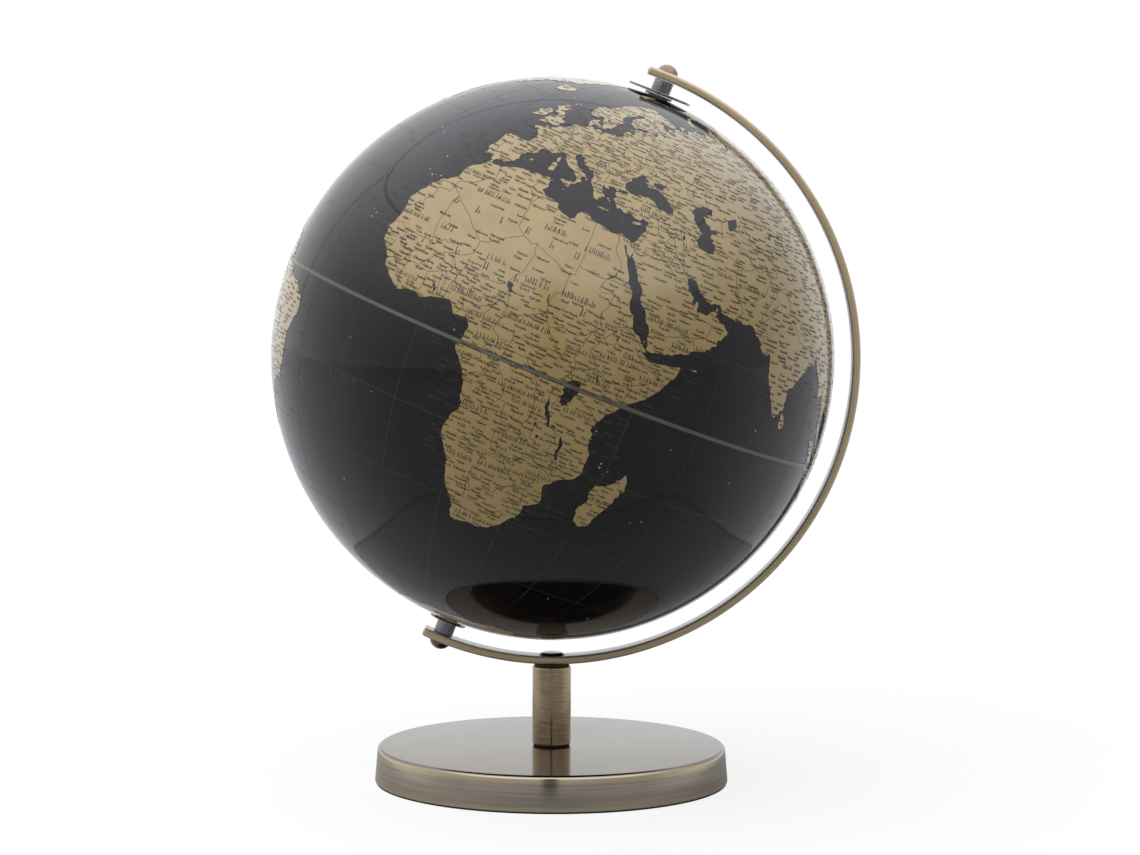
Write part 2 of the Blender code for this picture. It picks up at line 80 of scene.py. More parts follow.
EURASIA = """
-56 360 -62 364 -64 368 -69 372 -74 372 -79 370 -89 370 -88 377 -88 383 -93 384 -95 388 -94 394 -89 400 -88
408 -87 412 -89 419 -88 423 -93 430 -84 434 -79 438 -68 436 -54 436 -43 434 -35 435 -19 434 -14 440 -12 447
-11 456 -12 461 -21 471 -29 476 -43 478 -47 484 -36 487 -30 488 -20 487 -16 486 -16 492 -19 497 -13 497 -11
494 1 494 2 497 13 501 16 508 25 511 35 514 38 519 45 524 48 530 54 532 61 534 70 535 80 537 85 536 89 540
88 544 86 550 81 556 81 565 85 571 94 572 99 576 106 577 104 570 103 567 109 565 107 561 98 555 95 549 100
546 109 544 110 540 120 542 125 545 135 545 141 539 148 541 164 545 176 548 186 547 187 544 197 544 200 549
210 552 211 559 210 568 216 574 225 577 233 570 242 571 243 583 235 587 234 592 246 595 259 596 279 595 281
598 291 600 300 599 290 602 281 605 263 604 250 602 230 599 214 607 213 617 211 626 215 632 224 638 240 646
253 651 253 656 242 658 222 657 214 652 214 645 198 636 179 628 171 614 178 606 188 601 179 590 168 587 164
571 159 561 147 562 141 554 129 554 126 563 118 574 110 589 107 595 104 591 84 583 70 581 57 586 53 597 50
610 49 620 59 626 86 635 105 645 124 659 131 670 148 678 164 686 192 698 214 703 230 702 245 710 264 710 282
712 313 705 300 702 311 696 321 699 338 693 365 691 403 679 411 675 411 668 400 663 384 660 339 668 332 666
348 659 349 644 362 641 371 639 372 651 396 645 404 648 398 655 421 665 430 664 440 661 445 668 437 674 442
680 435 686 463 682 468 677 456 676 456 670 463 667 479 669 481 675 502 680 537 689 545 688 535 682 547 681
554 684 573 685 588 689 599 683 611 689 600 695 606 699 635 695 649 692 685 681 692 686 682 691 669 695 673
699 667 707 667 710 685 719 692 728 699 730 726 728 728 722 718 714 725 711 728 704 726 690 737 684 732 677
713 663 724 662 728 665 739 668 742 673 751 678 745 683 749 690 738 691 736 696 744 706 731 714 749 721 747
728 752 729 757 723 753 713 764 712 759 719 776 723 797 723 815 718 806 726 805 736 823 739 847 738 868 739
860 745 872 751 883 751 903 756 929 758 959 761 989 764 1010 769 1044 777 1061 774 1047 771 1070 770 1082
767 1111 767 1133 762 1141 758 1139 753 1094 742 1073 732 1102 740 1121 738 1130 740 1135 733 1139 736 1156
738 1188 736 1190 731 1232 729 1233 737 1254 736 1270 736 1286 730 1291 724 1285 719 1297 712 1313 708 1323
718 1339 714 1356 717 1375 713 1382 716 1399 715 1391 724 1405 728 1495 722 1504 716 1530 708 1570 710 1590
709 1598 705 1597 697 1609 694 1623 696 1641 697 1659 695 1678 696 1696 687 1708 690 1700 697 1705 701 1736
698 1757 699 1786 694 1800 690 1824 682 1851 672 1881 669 1901 660 1891 655 1875 654 1870 643 1853 646 1840
649 1838 654 1828 655 1816 654 1813 661 1801 659 1806 654 1800 650 1774 646 1783 641 1794 630 1792 623 1774
625 1746 618 1722 610 1707 603 1689 606 1663 598 1649 597 1635 599 1632 592 1620 582 1621 578 1632 576 1631
562 1621 561 1617 553 1621 549 1604 543 1600 532 1585 530 1582 519 1568 510 1564 517 1560 532 1554 554 1559
568 1568 578 1584 581 1601 593 1619 603 1637 611 1645 626 1633 625 1627 616 1601 605 1593 618 1567 614 1542
598 1550 591 1528 589 1513 588 1513 595 1498 597 1485 592 1455 593 1422 590 1390 571 1351 547 1367 546 1372
540 1382 538 1388 543 1399 542 1413 531 1414 522 1406 512 1405 500 1401 484 1386 470 1382 463 1369 451 1355
440 1349 434 1335 428 1323 433 1309 426 1308 422 1297 416 1297 409 1280 400 1275 398 1283 386 1292 374 1295
368 1295 356 1291 351 1282 349 1265 344 1264 349 1266 357 1261 367 1269 369 1262 377 1257 379 1247 381 1253
395 1243 399 1229 396 1211 389 1216 394 1214 398 1222 404 1216 409 1208 406 1196 399 1190 393 1180 392 1175
387 1181 381 1189 374 1197 372 1208 379 1224 375 1225 369 1211 367 1206 361 1197 356 1192 349 1202 344 1206
334 1212 325 1219 317 1219 309 1213 307 1215 301 1221 298 1219 290 1217 282 1211 281 1204 271 1196 257 1187
245 1173 236 1159 228 1148 227 1142 222 1138 225 1132 221 1118 216 1108 214 1104 203 1099 203 1096 210 1099
214 1085 217 1081 216 1067 207 1059 198 1057 191 1074 167 1083 161 1089 153 1093 134 1092 117 1084 110 1072
104 1064 95 1052 86 1048 92 1051 99 1043 105 1035 106 1031 112 1026 122 1017 126 1008 126 1010 134 1001 134
1000 123 995 108 992 92 999 92 1003 83 1005 74 1010 69 1016 67 1021 62 1024 61 1030 55 1034 49 1034 42 1033
37 1034 34 1035 28 1039 25 1042 16 1042 13 1035 12 1026 20 1014 28 1013 33 1007 39 1006 48 1002 53 1003 60
1001 65 997 68 990 79 985 84 983 78 983 90 986 99 985 107 988 114 984 120 985 131 981 136 978 148 976 161
972 169 965 164 954 157 948 158 942 160 945 173 943 182 935 194 937 197 924 207 920 217 918 222 914 228 905
228 906 224 903 218 898 220 890 217 882 217 870 215 870 207 865 202 851 195 839 183 832 177 822 170 822 166
817 163 808 160 803 159 800 151 802 138 803 130 799 121 799 104 793 103 789 95 792 92 783 89 779 83 775 80
766 89 761 103 757 113 754 118 749 127 746 140 744 146 735 160 731 179 728 192 728 204 726 214 712 208 705
209 692 221 696 225 693 228 682 237 674 239 671 247 664 254 645 252 629 252 615 251 596 254 585 256 574 257
570 270 565 271 557 270 547 265 535 268 525 276 515 279 509 288 501 301 496 300 489 303 482 300 479 298 484
286 488 277 493 275 495 271 502 267 502 263 501 259 502 256 505 253 507 250 508 255 510 260 513 261 516 258
516 252 514 246 518 240 526 242 534 242 540 241 547 248 554 254 561 261 564 264 564 249 568 242 574 239 581
237 587 236 594 227 598 225 598 223 594 217 593 214 589 211 585 204 580 205 578 202 577 197 578 191 572 189
566 186 563 179 557 179 553 172 548 170 542 170 536 167 531 167 524 164 522 156 512 152 496 147 487 140 482
139 479 140 474 136 467 134 459 133 454 130 451 130 443 126 435 126 432 132 433 138 431 141 429 148 426 152
428 153 427 157 428 163 426 168 423 175 418 178 412 187 409 195 402 202 398 203 391 213 390 220 391 226 385
237 380 241 375 243 372 249 372 251 369 256 366 258 362 266 356 274 351 281 346 281 348 285 349 295 346 291
344 283 342 278 336 282 333 286 331 289 326 298 324 301 321 313 330 311 338 310 343 313 347 321 350 328 355
339 360 346 358 353 359 360 362 366 356 366 347 368 340 362 332 361 325 361 317 366 306 367 304 363 297 361
287 367 276 367 270 377 263 382 268 390 262 395 262 400 270 403 279 404 290 405 293 408 289 410 280 410 273
408 267 405 264 403 260 406 254 409 249 409 237 407 244 401 239 400 233 400 228 405 226 400 228 393 233 392
230 389 240 382 240 377 231 379 234 374 228 373 232 364 225 364 217 368 213 376 211 383 207 388 202 393 194
403 193 407 194 414 195 417 189 423 185 425 175 428 169 432 160 435 152 442 149 451 143 452 139 448 137 451
137 455 131 457 123 454 124 449 123 446 126 441 135 436 140 428 151 420 159 420 162 417 159 415 175 409 184
404 185 402 183 398 177 403 169 404 164 398 172 394 171 389 166 388 161 380 157 379 157 382 159 388 161 390
157 395 154 400 150 402 147 406 141 408 136 412 129 413 121 417 112 424 105 429 102 439 97 440 89 444 84 442
79 438 74 437 65 431 46 434 31 431 30 419 21 412 8 410 7 407 1 401 -3 393 1 387 -5 383 -7 376 -14 374 -21
367 -34 367 -44 367 -50 363 -54 360
"""
NORTH_AMERICA = """
-1565 714 -1520 708 -1480 704 -1430 701 -1410 696 -1360 690 -1310 699 -1280 705 -1250 695 -1210 698 -1150
689 -1140 678 -1100 680 -1080 674 -1078 679 -1020 677 -985 678 -960 682 -960 673 -942 691 -965 701 -952 719
-939 718 -924 697 -905 695 -905 685 -880 686 -873 672 -856 688 -855 699 -826 697 -813 692 -814 671 -833 664
-860 665 -870 652 -885 641 -907 636 -932 620 -942 609 -947 589 -932 588 -923 571 -909 573 -880 565 -850 553
-823 551 -821 533 -814 522 -799 512 -786 526 -798 547 -765 565 -785 588 -773 599 -781 623 -747 622 -714 611
-696 611 -693 590 -676 582 -652 599 -614 570 -618 563 -573 546 -557 533 -557 521 -588 511 -600 502 -664 502
-685 491 -711 468 -680 486 -651 492 -645 480 -650 470 -645 462 -615 459 -605 470 -598 459 -610 453 -633 447
-654 435 -661 445 -645 453 -671 451 -691 440 -701 437 -708 429 -700 418 -719 413 -737 409 -740 406 -743 395
-755 395 -750 384 -760 372 -763 392 -763 380 -760 369 -757 356 -764 348 -779 339 -792 332 -803 325 -813 314
-813 300 -805 285 -801 269 -804 252 -812 252 -817 259 -828 279 -829 291 -841 301 -851 296 -864 304 -896 302
-894 293 -902 291 -916 297 -938 297 -947 294 -966 283 -974 272 -971 259 -979 224 -972 206 -963 193 -944 181
-920 187 -908 193 -905 207 -885 215 -871 215 -876 196 -881 183 -889 159 -879 159 -860 159 -844 158 -831 150
-834 140 -836 123 -837 110 -822 90 -814 88 -796 96 -774 87 -778 74 -784 81 -791 90 -804 83 -804 73 -817 81
-830 82 -837 90 -857 99 -859 110 -877 129 -912 139 -934 156 -947 162 -966 157 -997 167 -1019 179 -1039 188
-1055 199 -1053 214 -1060 228 -1084 252 -1094 267 -1112 279 -1128 300 -1131 312 -1148 318 -1147 302 -1133
288 -1116 267 -1107 248 -1094 234 -1100 228 -1122 247 -1123 260 -1150 277 -1142 286 -1159 302 -1171 325
-1184 337 -1204 345 -1217 362 -1225 378 -1237 390 -1244 403 -1241 437 -1240 463 -1247 482 -1230 475 -1228
490 -1274 508 -1280 523 -1300 553 -1320 564 -1341 581 -1366 582 -1399 595 -1440 600 -1471 609 -1486 600
-1517 592 -1514 607 -1540 594 -1542 581 -1563 574 -1584 560 -1603 556 -1649 546 -1606 560 -1577 576 -1575
588 -1619 587 -1620 598 -1653 611 -1646 631 -1615 635 -1608 648 -1664 647 -1681 657 -1645 666 -1617 661
-1668 684 -1632 694 -1590 709
"""
SOUTH_AMERICA = """
-774 87 -768 81 -756 97 -755 106 -749 111 -734 113 -717 124 -719 114 -716 104 -714 109 -702 114 -699 122
-682 106 -662 106 -643 104 -619 107 -624 99 -608 94 -598 84 -585 73 -570 60 -540 58 -520 46 -513 42 -500 17
-507 2 -486 -2 -484 -13 -478 -6 -446 -25 -434 -24 -415 -29 -400 -29 -385 -37 -372 -48 -365 -51 -356 -51 -352
-55 -349 -67 -347 -73 -351 -90 -370 -110 -384 -130 -389 -138 -390 -147 -393 -179 -398 -196 -408 -209 -410
-220 -419 -230 -446 -234 -465 -241 -485 -259 -486 -280 -496 -292 -507 -310 -523 -330 -538 -344 -549 -350
-578 -345 -584 -339 -585 -344 -572 -353 -574 -360 -568 -369 -577 -382 -592 -387 -623 -388 -627 -410 -651
-411 -650 -421 -636 -426 -653 -445 -673 -456 -676 -463 -656 -472 -660 -481 -676 -498 -691 -507 -682 -523
-708 -529 -710 -538 -729 -535 -749 -523 -753 -516 -756 -487 -747 -477 -756 -466 -744 -441 -732 -445 -727
-424 -743 -432 -737 -399 -732 -393 -735 -372 -726 -355 -717 -339 -714 -324 -717 -309 -715 -289 -709 -276
-701 -214 -704 -183 -715 -174 -734 -164 -752 -153 -760 -146 -763 -135 -771 -122 -790 -84 -798 -72 -812 -61
-809 -57 -814 -47 -803 -34 -798 -22 -809 -22 -809 -11 -800 4 -789 14 -771 38 -775 67 -779 72
"""
AUSTRALIA = """
1137 -225 1142 -218 1167 -207 1188 -203 1210 -196 1222 -182 1223 -173 1234 -173 1244 -164 1257 -145 1271
-139 1284 -149 1296 -149 1306 -126 1326 -121 1318 -113 1335 -118 1353 -122 1365 -119 1370 -124 1355 -150
1371 -159 1393 -174 1409 -174 1417 -150 1416 -129 1425 -107 1436 -145 1453 -150 1462 -178 1464 -190 1488
-204 1505 -223 1509 -235 1531 -261 1536 -281 1529 -316 1513 -338 1500 -374 1474 -382 1463 -390 1449 -384
1436 -388 1406 -380 1396 -361 1381 -356 1382 -344 1368 -353 1379 -336 1378 -329 1360 -349 1342 -328 1313
-315 1261 -322 1237 -339 1200 -339 1180 -351 1150 -342 1157 -316 1142 -273 1133 -261 1138 -250 1134 -244
"""
ANTARCTICA = """
-1780 -780 -1630 -785 -1580 -775 -1500 -765 -1460 -755 -1350 -744 -1200 -742 -1100 -752 -1010 -748 -1000
-728 -900 -729 -800 -730 -750 -718 -680 -705 -670 -670 -620 -648 -575 -635 -580 -645 -620 -665 -620 -690
-615 -720 -610 -750 -580 -780 -450 -780 -360 -780 -280 -763 -200 -740 -120 -720 -50 -708 0 -700 150 -699 250
-702 330 -688 400 -695 500 -666 570 -668 650 -678 700 -695 730 -698 800 -680 880 -667 1000 -658 1100 -663
1200 -669 1350 -661 1450 -670 1550 -690 1650 -707 1710 -717 1680 -740 1640 -770 1670 -782
"""
ISLANDS = """
492 -120 498 -129 501 -136 502 -148 505 -152 504 -157 502 -160 499 -154 497 -157 499 -165 498 -169 495 -171
494 -180 490 -191 485 -205 479 -224 475 -238 471 -249 463 -252 454 -256 448 -253 440 -250 438 -245 437 -236
433 -228 433 -221 434 -213 439 -212 439 -208 444 -201 445 -194 442 -190 440 -183 440 -174 443 -169 444 -162
449 -162 455 -160 459 -158 463 -158 469 -152 477 -146 480 -141 479 -137 483 -138 488 -131 489 -125; -57 501
-43 504 -30 504 -20 506 8 507 14 512 6 515 16 523 17 527 11 529 4 529 0 531 -3 537 -1 541 -12 546 -16 555
-22 560 -28 560 -34 560 -20 573 -18 576 -36 577 -41 577 -30 586 -41 585 -50 586 -58 578 -62 568 -55 561 -47
557 -51 550 -48 547 -36 549 -30 540 -30 534 -42 532 -45 528 -47 520 -53 519 -51 516 -42 514 -33 514 -30 512
-43 512; -61 537 -54 541 -56 546 -66 551 -76 552 -83 550 -86 543 -98 542 -99 534 -93 530 -98 524 -103 519
-99 515 -86 516 -70 520 -62 523 -60 531; -145 664 -147 658 -136 651 -148 647 -224 647 -227 639 -213 635 -187
634 -179 636 -149 644 -136 651 -147 658 -162 665 -176 660 -184 662 -202 661 -221 663 -237 663 -243 656 -222
654 -243 650 -227 648 -226 640; 81 391 83 398 82 409 92 413 98 405 97 392 91 390 86 389; 86 425 87 419 92
414 95 421 94 430; 124 379 126 381 138 380 151 383 157 382 153 378 151 367 143 370 138 371; 236 353 245 354
256 353 263 353 262 350 247 349 236 351; 323 350 330 354 345 357 339 350 340 349 330 346 325 347; 25 395 32
399 34 396 30 393; 13 390 16 391 16 388; 798 98 804 95 811 86 816 75 818 69 812 62 805 60 801 61 797 73 799
83 798 91; 1086 193 1092 200 1106 201 1110 196 1101 184 1090 183; 1219 252 1215 253 1202 239 1203 226 1208
220 1213 228; 952 56 975 52 996 31 1006 21 1025 2 1038 -11 1060 -31 1059 -58 1048 -59 1029 -42 1014 -28 999
-10 986 18 970 33; 1053 -66 1062 -60 1084 -68 1107 -65 1127 -69 1145 -77 1145 -87 1128 -84 1103 -82 1078
-77; 1091 18 1100 16 1114 24 1130 31 1145 44 1167 69 1192 53 1176 42 1180 23 1189 9 1174 6 1165 -15 1163 -36
1145 -41 1117 -33 1102 -28 1091 -4; 1199 1 1204 10 1245 12 1250 16 1233 8 1207 4 1212 -13 1233 -9 1222 -19
1216 -19 1230 -49 1225 -54 1218 -48 1206 -36 1206 -55 1194 -55 1193 -34 1190 -27; 1310 -8 1340 -8 1350 -33
1377 -17 1411 -26 1446 -39 1479 -61 1473 -67 1505 -107 1474 -101 1445 -77 1431 -90 1410 -91 1382 -84 1388
-73 1380 -54 1331 -40 1327 -32 1337 -22 1320 -22; 1205 185 1222 184 1215 158 1240 142 1239 125 1234 130 1206
140 1199 163; 1219 72 1235 87 1255 97 1266 75 1255 58 1240 63 1222 70; 1303 334 1309 340 1319 336 1315 314
1302 313; 1326 341 1346 343 1341 334 1328 328; 1310 340 1327 356 1360 356 1368 373 1390 381 1400 410 1414
414 1420 395 1409 381 1408 357 1389 347 1367 345 1357 336 1351 347; 1402 415 1405 428 1417 454 1440 440 1455
434 1432 420; 1427 543 1433 528 1434 507 1447 490 1425 478 1434 461 1420 462 1419 498 1424 530; 1727 -344
1758 -366 1785 -377 1770 -396 1753 -416 1738 -395 1748 -378; 1666 -459 1692 -443 1727 -405 1742 -417 1732
-437 1706 -458 1686 -466; 1447 -408 1464 -412 1483 -409 1480 -431 1460 -435; 530 710 560 705 556 730 580 751
680 764 685 767 606 762 552 749 515 720; 110 790 140 775 170 768 210 785 270 801 180 805; -849 219 -820 232
-775 211 -742 202 -777 199 -823 226; -744 199 -700 198 -684 186 -713 177 -744 184; -593 475 -560 516 -555
500 -530 474 -560 469; -1284 508 -1257 501 -1234 486 -1250 487; -680 -531 -650 -547 -680 -556 -743 -530 -700
-525; -800 738 -770 727 -680 705 -618 668 -647 634 -681 629 -657 648 -727 657 -731 675 -769 682 -789 697
-900 702 -897 714 -860 738; -1160 734 -1060 735 -1050 720 -1020 690 -1130 684 -1170 700 -1190 715; -1250 720
-1200 712 -1155 734 -1230 743; -900 765 -870 775 -820 765 -780 769 -770 784 -690 805 -620 825 -800 831 -920
819 -950 802 -870 785; -800 753 -900 767 -960 768 -910 746 -810 745; -1080 760 -1180 750 -1110 745 -1060
748; -1230 760 -1160 767 -1170 752; -960 800 -1050 790 -1000 780 -940 785; -1000 738 -970 742 -950 726 -980
710 -1020 725; -468 826 -399 832 -270 835 -208 827 -314 820 -158 819 -122 813 -200 802 -197 776 -220 766
-194 743 -236 733 -221 715 -252 708 -223 701 -300 681 -340 667 -398 655 -424 619 -448 600 -492 614 -521 643
-540 672 -509 699 -547 696 -515 706 -558 717 -573 747 -614 761 -685 761 -714 770 -733 780 -657 794 -672 805
-622 813 -530 819; -1559 202 -1548 195 -1559 190; 450 804 600 805 620 817 500 813; 950 790 1050 786 1030 794
950 810; 1378 750 1500 750 1430 761 1380 760; 1630 -202 1670 -221 1640 -209; 1777 -172 1787 -178 1774 -182;
104 569 120 550 126 556 122 561 106 554; 181 569 192 579 187 574; 219 583 232 586 230 583; 534 126 545 125
541 122; 1478 -50 1523 -42 1500 -63; 1200 -98 1270 -85 1240 -103; 1280 7 1286 15 1284 -8; 1265 -32 1310 -32
1290 -38; 1150 -81 1230 -84 1190 -92; -610 -517 -578 -517 -600 -523
"""
LAKES = """
291 412 281 416 280 420 277 426 280 433 286 437 288 449 296 452 304 460 308 466 317 467 323 465 333 461 336
460 325 454 335 450 334 446 340 444 352 449 365 451 375 447 387 443 400 434 415 426 416 415 404 410 383 409
369 413 352 420 335 420 323 417 311 411; 365 454 350 457 349 463 358 466 374 470 382 471 391 473 382 467 377
464 380 460 374 454; 477 456 491 463 512 470 530 469 530 453 513 452 513 445 503 446 503 443 513 431 524 427
524 420 530 421 540 423 547 419 540 412 529 411 527 400 536 400 531 393 539 389 538 370 530 368 520 366 508
369 492 376 489 383 494 394 496 402 504 403 496 406 486 418 475 430 476 437 467 446; 583 456 595 463 603 467
615 468 612 458 610 448 600 442 595 437 585 436 582 445; 737 455 750 468 770 466 790 467 790 464 770 463 745
459 741 449; 318 12 326 14 334 16 338 9 337 2 340 -3 336 -12 334 -20 330 -28 326 -36 319 -40 313 -34 310 -24
314 -17 309 -9 313 -2 311 6; 293 -33 294 -40 297 -46 299 -57 304 -63 309 -74 312 -85 310 -88 305 -83 303 -73
295 -65 293 -57 291 -46 291 -36; 340 -95 344 -100 349 -115 347 -124 349 -134 353 -142 348 -143 344 -134 341
-124 343 -114 340 -103; 361 45 362 36 366 26 364 25 360 33 359 44; 133 140 142 141 147 136 145 130 152 124
144 122 139 128 134 131; 313 22 307 13 304 11 309 19; 1 64 -1 72 -5 76 -9 86 -4 81 1 79 0 72 5 78 3 68; 328
241 330 232 325 225 315 218 312 215 314 220 322 228; 282 -87 289 -90 288 -94 283 -95; 296 -108 301 -110 298
-116 294 -113; 288 -161 282 -168 271 -178 276 -176 284 -165; 372 123 375 121 373 116 370 119; 290 -16 293
-19 290 -24; 315 -80 324 -82 325 -85 318 -84; 306 601 318 612 329 609 326 601 313 599; 348 616 362 616 356
608; 130 591 139 591 142 584 130 583; 143 584 148 582 146 579; 451 382 458 380 457 372 452 372; 424 388 434
387 430 383; 1037 515 1060 524 1095 550 1098 557 1088 547 1060 529 1046 517; 764 425 781 427 773 421; 999
372 1007 370 1001 366; -921 467 -886 486 -848 469 -876 468 -905 466; -877 459 -863 455 -868 430 -864 418
-878 424; -847 459 -818 459 -798 447 -818 433 -824 430 -833 445; -835 417 -790 429 -823 414; -797 435 -765
440 -770 433; -980 538 -992 537 -966 504 -970 518; -1170 612 -1140 626 -1090 628 -1130 610; -1250 663 -1200
670 -1180 660 -1230 652; -701 -155 -689 -163 -695 -163; -1025 571 -1030 580 -1021 582
"""
TINY_ISLANDS = """
-155 281 -139 283 -163 278 -180 287 -169 327 -257 377 -284 386 -235 150 -243 166 -229 160 66 3 74 16 -144
-80 -57 -160 -123 -371 576 -202 553 -211 555 -46 435 -117 454 -128 735 42 730 19 725 -72 793 -20 927 118 938
80 965 -122 1057 -105 518 -465 698 -492 289 374 280 365 266 392 256 374 250 378 145 359 -27 600 -12 603 -72
623 -66 570 -90 710 335 -2 -590 141 -615 160 -613 138 -645 183 -772 243 -765 260 -909 -7 -1095 -271 -1600
220 -1576 213 -1495 -176 -1720 -138 1682 -165 1785 -181 1660 -107 1710 -439 1447 134 1583 69 1712 73 -1397
-90 -1284 -240 424 142 1270 265 1295 283 1345 75 539 123 546 125 435 -125 399 -61 396 -79 -680 322 -358 -550
-263 -578 -289 -204 1135 -530
"""
